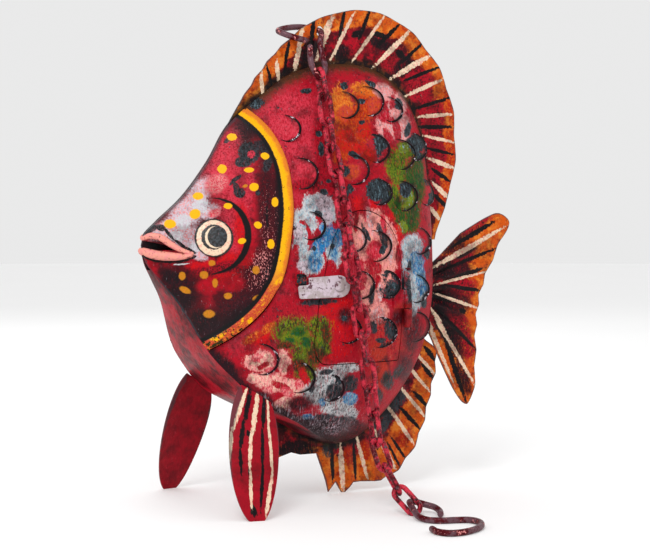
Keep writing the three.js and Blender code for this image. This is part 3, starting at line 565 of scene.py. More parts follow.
def edge_strip(span, across, spread, crown, steps):
    """A strip that closes the body between the flanks' edges."""
    shares = np.linspace(-1, 1, across)
    edge = spaced(EDGE_LINE, steps, closed=True, span=span)
    out = np.stack([edge[:, 0] - BULGE_AT[0], 0 * edge[:, 0], edge[:, 1] - BULGE_AT[1]], -1)
    out /= np.linalg.norm(out, axis=1, keepdims=True)
    half = edge[:, 2] + spread
    swell = crown * (1 - shares[None] ** 2) * np.minimum(1, half / 20)[:, None]
    base = np.stack([
        np.broadcast_to(edge[:, :1], swell.shape), shares[None] * half[:, None],
        np.broadcast_to(edge[:, 1:2], swell.shape),
    ], axis=-1)
    sheet = fish_sizes().sheet / MM
    out = out[:, None]
    return wall(base + out * swell[..., None], base + out * (swell - sheet)[..., None])


GILL_LINE = smooth(GILL, 14)
AHEAD = np.vstack([GILL_LINE, [(-200, 95), (-200, 280)]])


def gill_rim(side):
    """The head's rear edge, flared out over the flank."""
    line = spaced(GILL_LINE, 150)
    inside = line[beyond_edge(line[:, 0], line[:, 1]) < -1.0]
    point, normal = skin(side, inside[:, 0], inside[:, 1])
    along = np.gradient(inside, axis=0)
    forward = np.stack([along[:, 1], 0 * along[:, 0], -along[:, 0]], -1)
    forward *= -np.sign(forward[:, :1] + 1e-9)
    forward -= normal * np.sum(forward * normal, 1, keepdims=True)
    forward /= np.linalg.norm(forward, axis=1, keepdims=True)
    flare = fish_sizes().gill_flare / MM
    t = np.linspace(0, 1, 13)
    ahead = 7.4 - 6.6 * t
    lift = -0.25 + (flare + 0.2) * t**1.7
    back_ahead = ahead - 0.75 - 0.1 * t
    back_lift = lift - 1.05 + 0.35 * t

    def face(ahead, lift):
        """One face of the rim, by how far it lies ahead of the gill line and off the flank."""
        p = point[:, None] + forward[:, None] * ahead[None, :, None]
        return p + normal[:, None] * lift[None, :, None]

    return wall(face(ahead, lift), face(back_ahead, back_lift))


def lip(line, tip):
    """One lip, a rounded bead from flank to flank across the nose."""
    px, py, thick = np.array(line).T
    near = skin(-1, *seen(px, py), 0.3)[0]
    route = np.vstack([near, [tip[0], 0, tip[1]], near[::-1] * [1, -1, 1]])
    radius = np.concatenate([thick, [thick[-1]], thick[::-1]])[:, None]
    route = spaced(smooth(np.hstack([route, radius]), 12), 110)
    return tube(route[:, :3], route[:, 3], 16)


def hood(side, x, z, radius, height, lean):
    """A raised scale: tangent to the flank in front, standing open towards the tail."""
    r = np.linspace(0, 1, 9)[:, None] ** 0.8
    turn = np.linspace(-math.pi, math.pi, 41)[None, :-1]
    u, v = r * np.cos(turn), r * np.sin(turn)
    px, pz = on_hood(u, v, x, z, radius, lean)
    lift = hood_lift(u, v, height)
    top, _ = skin(side, px, pz, lift)
    under, _ = skin(side, px, pz, np.maximum(lift - HOOD["plate"], -0.5))
    return wall(top, under, wrap=True)


def on_hood(u, v, x, z, radius, lean):
    """The drawing's x, z of a place on a raised scale of radius 1 about its middle."""
    cos, sin = math.cos(lean), math.sin(lean)
    return x + radius * (u * cos - v * sin), z + radius * (u * sin + v * cos)


def hood_lift(u, v, height):
    """How far a place on a raised scale stands off the flank."""
    return height * ((u + 1) / 2) ** 1.25 * np.maximum(0, 1 - v**2 * 0.97) ** 0.55 - 0.05


def hood_burr_and_shadow(side, x, z, radius, height, lean):
    """The dark cut edge round the open side of a raised scale, dark also as painted shadow under
    its lip.
    """
    turn = np.radians(np.linspace(-104, 96, 31))
    u, v = np.cos(turn), np.sin(turn)
    px, pz = on_hood(u, v, x, z, radius, lean)
    line, _ = skin(side, px, pz, hood_lift(u, v, height) - 0.35)
    thick = 0.3 + 0.6 * np.sin(np.linspace(0.05, 3.05, 31)) ** 0.7
    return tube(line, thick, 8)


def hood_places(side, places):
    """Where each raised scale sits, with the small differences of hand work."""
    rows = []
    for k, (x, z, worn) in enumerate(places):
        vary = math.sin(k * 2.3 + side)
        radius, height = HOOD["radius"] + 0.7 * vary, HOOD["height"] + 0.4 * vary
        rows.append((x, z, radius, height, math.radians(-7 + 9 * vary), worn))
    return rows


def add_hoods(name, side, places, finish, body):
    """Adds raised scales and, as a piece of its own, their dark cut edges, also painted shadow
    under each scale's lip.
    """
    rows = hood_places(side, places)
    solids = joined(*(hood(side, *row[:5]) for row in rows))

    def nearest(points):
        gaps = np.stack([np.hypot(points[:, 0] - r[0], points[:, 2] - r[1]) / r[2] for r in rows])
        return gaps.argmin(axis=0), gaps.min(axis=0)

    def rim(points):
        owner, gap = nearest(points)
        behind = points[:, 0] - np.array([r[0] for r in rows])[owner]
        return gap * eased(behind, -6, 2)

    def worn(points):
        return np.array([r[5] for r in rows])[nearest(points)[0]]

    marks = {**flank_marks(), "rim": rim, "worn": worn}
    add_piece(f"scales_{name}", solids, finish, body, marks=marks)
    rim_and_shadow_tubes = joined(*(hood_burr_and_shadow(side, *row[:5]) for row in rows))
    add_piece(f"scale_edges_{name}", rim_and_shadow_tubes, finish_of("burr_and_shadow"), body)


def head_marks():
    """Values over the head for its paint: distance ahead of the gill line."""
    line = spaced(GILL_LINE, 260)

    def from_gill(points):
        return np.concatenate([
            np.linalg.norm(block[:, None, [0, 2]] - line[None], axis=2).min(axis=1)
            for block in np.array_split(points, max(1, len(points) // 4000))
        ])

    return {**flank_marks(), "from_gill": from_gill}


def flank_marks():
    """Values over a flank for its paint: distance in from its edge, and 1 on its inner face."""

    def inner(points):
        x, y, z = points.T
        return np.abs(y) < half_at(x, z, np.sign(y)) - 0.6

    return {"inward": lambda p: -beyond_edge(p[:, 0], p[:, 2]), "inner": inner}


def door_outline(grow=0.0):
    """The door's outline, moved out by a distance."""
    left, right, bottom, top, corner = DOOR.values()

    def bend(*p, steps=16):
        """A bend between the first point and the last, pulled towards those between."""
        t = np.linspace(0, 1, steps, endpoint=False)[:, None]
        p = np.asarray(p, float)
        power = len(p) - 1
        return sum(
            math.comb(power, k) * t**k * (1 - t) ** (power - k) * q for k, q in enumerate(p)
        )

    line = np.vstack([
        [(left + 2 + corner, bottom), (right, bottom)],
        bend((right, 158), (right, 182), (25, top), (8, top)),
        bend((8, top), (-8, top), (-19, 178), (-24, 152)),
        [(-24, 152)],
        bend((left + 0.5, bottom + 17), (left, bottom), (left + 2 + corner, bottom)),
    ])
    line = spaced(line, 150, closed=True)
    along = np.roll(line, -1, 0) - np.roll(line, 1, 0)
    out = np.column_stack([along[:, 1], -along[:, 0]])
    out /= np.linalg.norm(out, axis=1, keepdims=True)
    return line + out * grow


def hinge_axis():
    """The drawing's x and y of the hinge's upright wire."""
    middle = sum(HINGE["z"]) / 2
    return HINGE["x"], -(plain_half(HINGE["x"], middle) + HINGE["lift"])


def knuckle(z0, z1, leaf_from):
    """A share of the hinge: its barrel and the leaf that is laid on the sheet."""
    x, y = hinge_axis()
    zs = np.linspace(z0, z1, 9)
    t = np.linspace(0, 1, 15)
    xs = leaf_from + (HINGE["x"] - leaf_from) * t
    lift = 0.25 + (HINGE["lift"] - 0.7) * eased(t, 0.45, 1.0)
    grid_x, grid_z = np.meshgrid(xs, zs, indexing="ij")
    lifts = np.broadcast_to(lift[:, None], grid_x.shape)
    top, _ = skin(-1, grid_x, grid_z, lifts + 0.55)
    under, _ = skin(-1, grid_x, grid_z, lifts - 0.5)
    radius, bore = HINGE["radius"], HINGE["bore"]
    high = z1 - z0
    ring = [(bore, 0), (radius - 0.25, 0), (radius, 0.25), (radius, high - 0.25),
            (radius - 0.25, high), (bore, high)]
    turn = np.arange(28) * 2 * math.pi / 28
    outer, inner = (
        np.array([
            [(x + r * math.cos(a), y + r * math.sin(a), z0 + h) for a in turn] for r, h in rows
        ])
        for rows in (ring, [(bore, h) for _, h in ring])
    )
    return joined(wall(outer, inner, wrap=True), wall(top, under))


def latch_axes():
    """The strap's own directions: forwards, up and out of the door."""
    normal = np.array(LATCH_FACING) / np.linalg.norm(LATCH_FACING)
    along = np.array([-1.0, 0, 0])
    along -= normal * along.dot(normal)
    along /= np.linalg.norm(along)
    return along, np.cross(along, normal), normal


def latch_point(u, v, w):
    """A place given from the latch's rivet, forwards, up and out."""
    along, up, normal = latch_axes()
    return np.array(LATCH_PIVOT) + along * u + up * v + normal * w


def latch_strap():
    """The strap, with a notch at its front end and a hole for the rivet."""
    half = LATCH["width"] / 2
    turn = np.radians(np.linspace(90, 270, 21))
    outline = [(math.cos(a) * LATCH["tail"], math.sin(a) * half) for a in turn]
    outline += [
        (LATCH["reach"] - 1, -half + 0.5), (LATCH["reach"], -half + 1.6),
        (LATCH["reach"] + 0.3, half - 6.4), (LATCH["reach"] - 0.6, half - 5.6),
        (NOTCH + 1.2, half - 5.5), (NOTCH + 0.2, half - 4.8), (NOTCH, half - 0.6),
    ]
    rows = []
    for w, shrink in ((0, 0.25), (0.25, 0), (LATCH["thick"] - 0.25, 0), (LATCH["thick"], 0.25)):
        centre = np.mean(outline, axis=0)
        row = []
        for u, v in outline:
            away = np.array([u, v]) - centre
            away = away * (1 - shrink / np.linalg.norm(away))
            row.append(latch_point(*(centre + away), w))
        rows.append(row)
    rows = np.array(rows)
    blank = rows.reshape(-1, 3), ring_faces(*rows.shape[:2])
    hole = turned([(RIVET_HOLE, -3), (RIVET_HOLE, 5)], latch_point(0, 0, 0), latch_axes()[2], 24)
    return cut(blank, ("DIFFERENCE", hole))


def keeper_tab():
    """The tab that stands up in the strap's notch and is curled over at its end."""
    line = smooth(KEEPER, 8)
    along = np.gradient(line, axis=0)
    along /= np.linalg.norm(along, axis=1, keepdims=True)
    across = np.array([0.996, 0.09, 0.0])
    out = np.cross(along, across)
    share = np.linspace(-1, 1, 13)
    width = KEEPER_HALF * np.ones(len(line))
    width[-6:] *= [0.99, 0.97, 0.93, 0.86, 0.72, 0.5]
    grids = []
    for half in (0.55, -0.55):
        p = line[:, None] + across * (share[None] * width[:, None])[..., None]
        p += (out * half)[:, None]
        grids.append(np.array([[latch_point(*q) for q in row] for row in p]))
    return wall(*grids)


def fin_sheet(fin, cuts=()):
    """A plate pressed into flutes along its rays and cut to its outline."""
    columns, rows = fin["flutes"] * 12, 34
    lowest, highest = fin["depths"]
    turn = np.radians(np.linspace(*fin["angles"], columns + 1))
    depth = lowest + (highest - lowest) * np.linspace(0, 1, rows + 1) ** 1.15
    turn, depth = np.broadcast_arrays(turn[None], depth[:, None])
    near, far = np.full(turn.shape, -60.0), np.full(turn.shape, 160.0)
    cx, cz = fin["centre"]
    for _ in range(30):
        middle = (near + far) / 2
        less = beyond_edge(cx + np.cos(turn) * middle, cz + np.sin(turn) * middle) < depth
        near, far = np.where(less, middle, near), np.where(less, far, middle)
    x, z = cx + np.cos(turn) * near, cz + np.sin(turn) * near
    phase = np.linspace(0, fin["flutes"], columns + 1)[None] * 2 * math.pi
    wave = -np.cos(phase) - 0.12 * np.cos(3 * phase)
    swing = fish_sizes().flute / MM * wave * eased(depth, 2, 12)
    thick = fish_sizes().fin_sheet / MM
    front = np.stack([x, swing - thick / 2, z], -1)
    back = np.stack([x, swing + thick / 2, z], -1)
    outline = fin_outline(fin)
    return cut(wall(front, back), ("INTERSECT", prism(outline, -20, 20)), *cuts)


def fin_outline(fin):
    """A fin's cut edge, closed through its root inside the body."""
    return np.vstack([smooth(fin["edge"], 6), fin["close"]])


def fin_marks(fin):
    """Values over a fin for its paint: distance in from its edge and out from the body."""
    edge = spaced(smooth(fin["edge"], 8), 220)
    if fin is ANAL:
        edge = spaced(np.vstack([smooth(fin["edge"], 8), fin["close"][:5]]), 260)

    def from_edge(p):
        gaps = np.linalg.norm(p[:, None, [0, 2]] - edge[None], axis=2)
        return gaps.min(axis=1)

    return {
        "from_edge": from_edge,
        "from_body": lambda p: beyond_edge(p[:, 0], p[:, 2]),
    }


def pelvic_fin(side, rows=56, columns=28):
    """A leaf-shaped fin, cupped and bent outwards, that is a front foot."""
    root, bend, tip = (np.array(PELVIC[k], float) for k in ("root", "bend", "tip"))
    v = np.linspace(0, 1, rows + 1)[:, None]
    centre = (1 - v) ** 2 * root + 2 * v * (1 - v) * bend + v**2 * tip
    down = 2 * (1 - v) * (bend - root) + 2 * v * (tip - bend)
    down /= np.linalg.norm(down, axis=1, keepdims=True)
    turn = math.radians(PELVIC["turn"])
    across = np.array([math.cos(turn), math.sin(turn), 0])
    out = np.cross(across, down)
    out *= np.sign(out[:, 1:2])
    out /= np.linalg.norm(out, axis=1, keepdims=True)
    v = v[:, 0]
    width = PELVIC["half"] * np.sqrt(np.maximum(0.0004, 1 - ((v - 0.45) / 0.555) ** 2))
    slant = (1 - v) ** 2 * -0.62
    u = np.sin(np.linspace(-1, 1, columns + 1) * math.pi / 2)
    cup = PELVIC["cup"] * (1 - u[None] ** 2) * np.sin(math.pi * np.minimum(1, v + 0.12))[:, None]
    grids = []
    thick = fish_sizes().fin_sheet / MM
    for half in (0.5, -0.5):
        p = (
            centre[:, None] + across * (u[None] * width[:, None])[..., None]
            + out[:, None] * (cup + half * thick)[..., None]
        )
        p[..., 2] += u[None] * (width * slant)[:, None]
        p[..., 1] *= side
        grids.append(p)
    floor = prism([(-160, 0), (0, 0), (0, -60), (-160, -60)], -160, 160)
    return cut(wall(*grids), ("DIFFERENCE", floor))


def pelvic_marks():
    """Values over a foot fin for its paint: distance across it, 1 at its edges."""
    root, tip = np.array(PELVIC["root"], float), np.array(PELVIC["tip"], float)
    def over(p):
        v = np.clip((root[2] - p[:, 2]) / (root[2] - tip[2]), 0, 1)
        middle = root[0] + (tip[0] - root[0]) * (1 - (1 - v) ** 1.3)
        width = PELVIC["half"] * np.sqrt(np.maximum(0.05, 1 - ((v - 0.45) / 0.58) ** 2))
        return (p[:, 0] - middle) / (width * math.cos(math.radians(PELVIC["turn"])))

    return {"over": over}


# ---------------------------------------------------------------- chain


def chain_route():
    """The chain's middle line from the dorsal fin down over the door to the floor."""
    against = [(x, -(plain_half(x, z) + off), z) for x, z, off in CHAIN_X]
    return smooth([CHAIN_START, *against, *CHAIN_FREE], 120, even=0)


def chain_frames():
    """Every link's middle, its long direction and the direction that its hole faces."""
    line = chain_route()
    joints = [line[0]]
    for p in line:
        if np.linalg.norm(p - joints[-1]) >= LINK["pitch"] and len(joints) <= LINK_COUNT:
            joints.append(p)
    frames = []
    for i, (above, below) in enumerate(zip(joints, joints[1:])):
        along = (below - above) / np.linalg.norm(below - above)
        out = np.array([0.0, -1, 0])
        out -= along * out.dot(along)
        out /= np.linalg.norm(out)
        aside = np.cross(along, out)
        lean = math.radians((0 if i % 2 else 90) + 110 * float(eased(i, 6, 16)))
        frames.append(((above + below) / 2, along, out * math.cos(lean) + aside * math.sin(lean)))
    return frames


def link_ring(centre, along, flat):
    """One link of bent wire with straight sides."""
    across = np.cross(flat, along)
    straight = LINK["half"] - LINK["bend"] - LINK["wire"]
    turns = np.radians(np.linspace(-90, 90, 13))
    points = []
    for end in (1, -1):
        for a in turns:
            out = end * (math.cos(a) * along + math.sin(a) * across)
            points.append(centre + end * straight * along + out * LINK["bend"])
    return tube(points, LINK["wire"], 12, closed=True, lead=flat)


# ---------------------------------------------------------------- finishes


class Wire:
    """An output of a material's node, which can stand in a sum."""

    def __init__(self, finish, socket):
        self.finish, self.socket = finish, socket

    def sum(self, operation, first, *rest):
        inputs = dict(enumerate((first, *rest)))
        return self.finish.node("ShaderNodeMath", {"operation": operation}, inputs)

    def __add__(self, other):
        return self.sum("ADD", self, other)

    def __sub__(self, other):
        return self.sum("SUBTRACT", self, other)

    def __rsub__(self, other):
        return self.sum("SUBTRACT", other, self)

    def __mul__(self, other):
        return self.sum("MULTIPLY", self, other)

    def __truediv__(self, other):
        return self.sum("DIVIDE", self, other)

    __radd__, __rmul__ = __add__, __mul__

    def least(self, other):
        return self.sum("MINIMUM", self, other)

    def most(self, other):
        return self.sum("MAXIMUM", self, other)

    def size(self):
        return self.sum("ABSOLUTE", self)


class Finish:
    """A paint or metal finish, built from nodes on the drawing's own coordinates."""

    def __init__(self, name):
        self.material = bpy.data.materials.new(name)
        self.material.use_nodes = True
        self.tree = self.material.node_tree
        self.tree.nodes.clear()
        place = self.node("ShaderNodeTexCoord", output="Object")
        self.at = self.vector("MULTIPLY_ADD", place, (1 / MM,) * 3, (FOOT_X, 0, 0))
        self.x, self.z = (
            self.node("ShaderNodeSeparateXYZ", inputs={0: self.at}, output=k) for k in (0, 2)
        )

    def node(self, kind, settings=(), inputs=(), output=0):
        """Adds a node, with its settings first and then its sockets' values or links."""
        made = self.tree.nodes.new(kind)
        for key, value in dict(settings).items():
            setattr(made, key, value)
        for key, value in dict(inputs).items():
            socket = made.inputs[key]
            if isinstance(value, Wire):
                self.tree.links.new(value.socket, socket)
            elif socket.type == "RGBA":
                socket.default_value = (*tuple(value)[:3], 1)
            else:
                socket.default_value = value
        return Wire(self, made.outputs[output])

    def vector(self, operation, *values, output=0):
        """Sums on colours or directions."""
        settings = {"operation": operation}
        return self.node("ShaderNodeVectorMath", settings, dict(enumerate(values)), output)

    def mark(self, name):
        """A value that was laid on the piece's points."""
        return self.node("ShaderNodeAttribute", {"attribute_name": name}, output="Fac")

    def noise(self, scale, detail=3.0, rough=0.6, at=None, stretch=None):
        """Mottle whose grain is about 1 / scale millimetres."""
        place = at or self.at
        if stretch:
            place = self.vector("MULTIPLY", place, stretch)
        inputs = {"Vector": place, "Scale": scale, "Detail": detail, "Roughness": rough}
        return self.node("ShaderNodeTexNoise", inputs=inputs)

    def ease(self, value, low, high, start=0.0, end=1.0):
        """Goes smoothly from start to end as the value passes from low to high."""
        inputs = {"Value": value, "From Min": low, "From Max": high, "To Min": start, "To Max": end}
        return self.node("ShaderNodeMapRange", {"interpolation_type": "SMOOTHSTEP"}, inputs)

    def sooted(self, colour):
        """Leaves the sheet's inner face bare, dark with candle soot and a little rust."""
        worn = self.ease(self.noise(0.07, 6.0, 0.7), 0.42, 0.62)
        steel = self.mix(worn, paint("soot"), paint("slate"))
        rust = self.ease(self.noise(0.2, 8.0, 0.75), 0.54, 0.64)
        steel = self.mix(rust * 0.5, steel, paint("rust"))
        return self.mix(self.ease(self.mark("inner"), 0.4, 0.6), colour, steel)

    def mix(self, share, first, second, how="MIX"):
        """One colour over another, as thickly as the share."""
        settings = {"data_type": "RGBA", "blend_type": how, "clamp_factor": True}
        return self.node("ShaderNodeMix", settings, {0: share, 6: first, 7: second}, 2)

    def flat(self, distort=0.0, grain=0.1, detail=3.0):
        """The drawing's x and z with a 1 beside them, shaken so that brushed edges wander."""
        place = self.node("ShaderNodeCombineXYZ", inputs={0: self.x, 1: self.z, 2: 1.0})
        if not distort:
            return place
        aside = self.vector("ADD", place, (137.0, 59.0, 11.0))
        shake_x = (self.noise(grain, detail, at=place) - 0.5) * distort
        shake_z = (self.noise(grain, detail, at=aside) - 0.5) * distort
        return self.node(
            "ShaderNodeCombineXYZ", inputs={0: self.x + shake_x, 1: self.z + shake_z, 2: 1.0}
        )

    def dab(self, flat, dab):
        """Distance from a dab's middle, which is 1 at its rim."""
        (x, z), sizes, turn = dab
        shares = []
        for size, angle in zip(sizes, (turn, turn + math.pi / 2)):
            cos, sin = math.cos(angle) / size, math.sin(angle) / size
            line = (cos, sin, -(x * cos + z * sin))
            shares.append(self.vector("DOT_PRODUCT", flat, line, output="Value"))
        away = self.node("ShaderNodeCombineXYZ", inputs=dict(enumerate(shares)))
        return self.vector("LENGTH", away, output="Value")

    def dabs(self, flat, dabs, fray=None, soft=0.25):
        """Where any of some dabs of paint lies, frayed by a mottle."""
        nearest = None
        for dab in dabs:
            distance = self.dab(flat, dab)
            nearest = distance if nearest is None else nearest.least(distance)
        if fray is not None:
            nearest = nearest + fray
        return self.ease(nearest, 1 + soft, 1 - soft)

    def bump(self, height, strength=0.4, distance=0.0006):
        """Relief of the paint, at most the distance high in metres."""
        inputs = {"Height": height, "Strength": strength, "Distance": distance}
        return self.node("ShaderNodeBump", inputs=inputs)

    def surface(self, colour, rough, bump=None, metallic=0.0, gloss=0.13, glow=0.0):
        """Ends the finish and gives its material."""
        inputs = {
            "Base Color": colour, "Roughness": rough, "Metallic": metallic,
            "Specular IOR Level": gloss, "Emission Color": (1, 1, 1), "Emission Strength": glow,
        }
        if bump is not None:
            inputs["Normal"] = bump
        shader = self.node("ShaderNodeBsdfPrincipled", inputs=inputs)
        end = self.tree.nodes.new("ShaderNodeOutputMaterial")
        self.tree.links.new(shader.socket, end.inputs["Surface"])
        return self.material

    def chipped(self, colour, grain, mottle, chips, rough, relief=0.45, metallic=0.0):
        """Ends a painted finish, whose chips lie lower than its paint; rough is a range."""
        height = grain * 0.5 + mottle * 0.5 - chips * 0.5
        rough = self.ease(grain, 0.3, 0.7, *rough)
        return self.surface(colour, rough, self.bump(height, relief), metallic)

    def aged(self, colour, dark=0.45, pale=0.35, tint="pink"):
        """Handling and weather: broad dirt, dark pits and pale scratches."""
        broad = self.ease(self.noise(0.05, 7.0, 0.72), 0.47, 0.64)
        pits = self.ease(self.noise(0.5, 9.0, 0.8), 0.535, 0.63)
        colour = self.mix(broad * dark, colour, paint("maroon"), "MULTIPLY")
        colour = self.mix(pits * dark, colour, paint("plum"))
        scratches = self.ease(self.noise(0.5, 9.0, 0.85, stretch=(1.6, 1.0, 0.4)), 0.60, 0.66)
        return self.mix(scratches * pale, colour, paint(tint))


def dabs_at(rows, find=seen):
    """Dabs on the near side, given as they look in the photograph."""
    rows = np.array([(*row, 0)[:5] for row in rows], float)
    px = rows[:, :1] + [0.0, 1.0, 0.0]
    py = rows[:, 1:2] - [0.0, 0.0, 1.0]
    x, z = find(px, py)
    dabs = []
    for row, xs, zs in zip(rows, x, z):
        change = np.array([[xs[1] - xs[0], xs[2] - xs[0]], [zs[1] - zs[0], zs[2] - zs[0]]])
        lean = math.radians(row[4])
        spin = np.array([[math.cos(lean), -math.sin(lean)], [math.sin(lean), math.cos(lean)]])
        axes, sizes, _ = np.linalg.svd(change @ spin @ np.diag(row[2:4]))
        turn = math.atan2(axes[1, 0], axes[0, 0])
        dabs.append(((float(xs[0]), float(zs[0])), (float(sizes[0]), float(sizes[1])), turn))
    return dabs


def strokes_at(rows, find):
    """Brushed strokes, each between two places in the photograph and with half its width."""
    dabs = []
    for x0, y0, x1, y1, width in rows:
        turn = math.degrees(math.atan2(y0 - y1, x1 - x0))
        dabs.append(((x0 + x1) / 2, (y0 + y1) / 2, math.hypot(x1 - x0, y1 - y0) / 2, width, turn))
    return dabs_at(dabs, find)


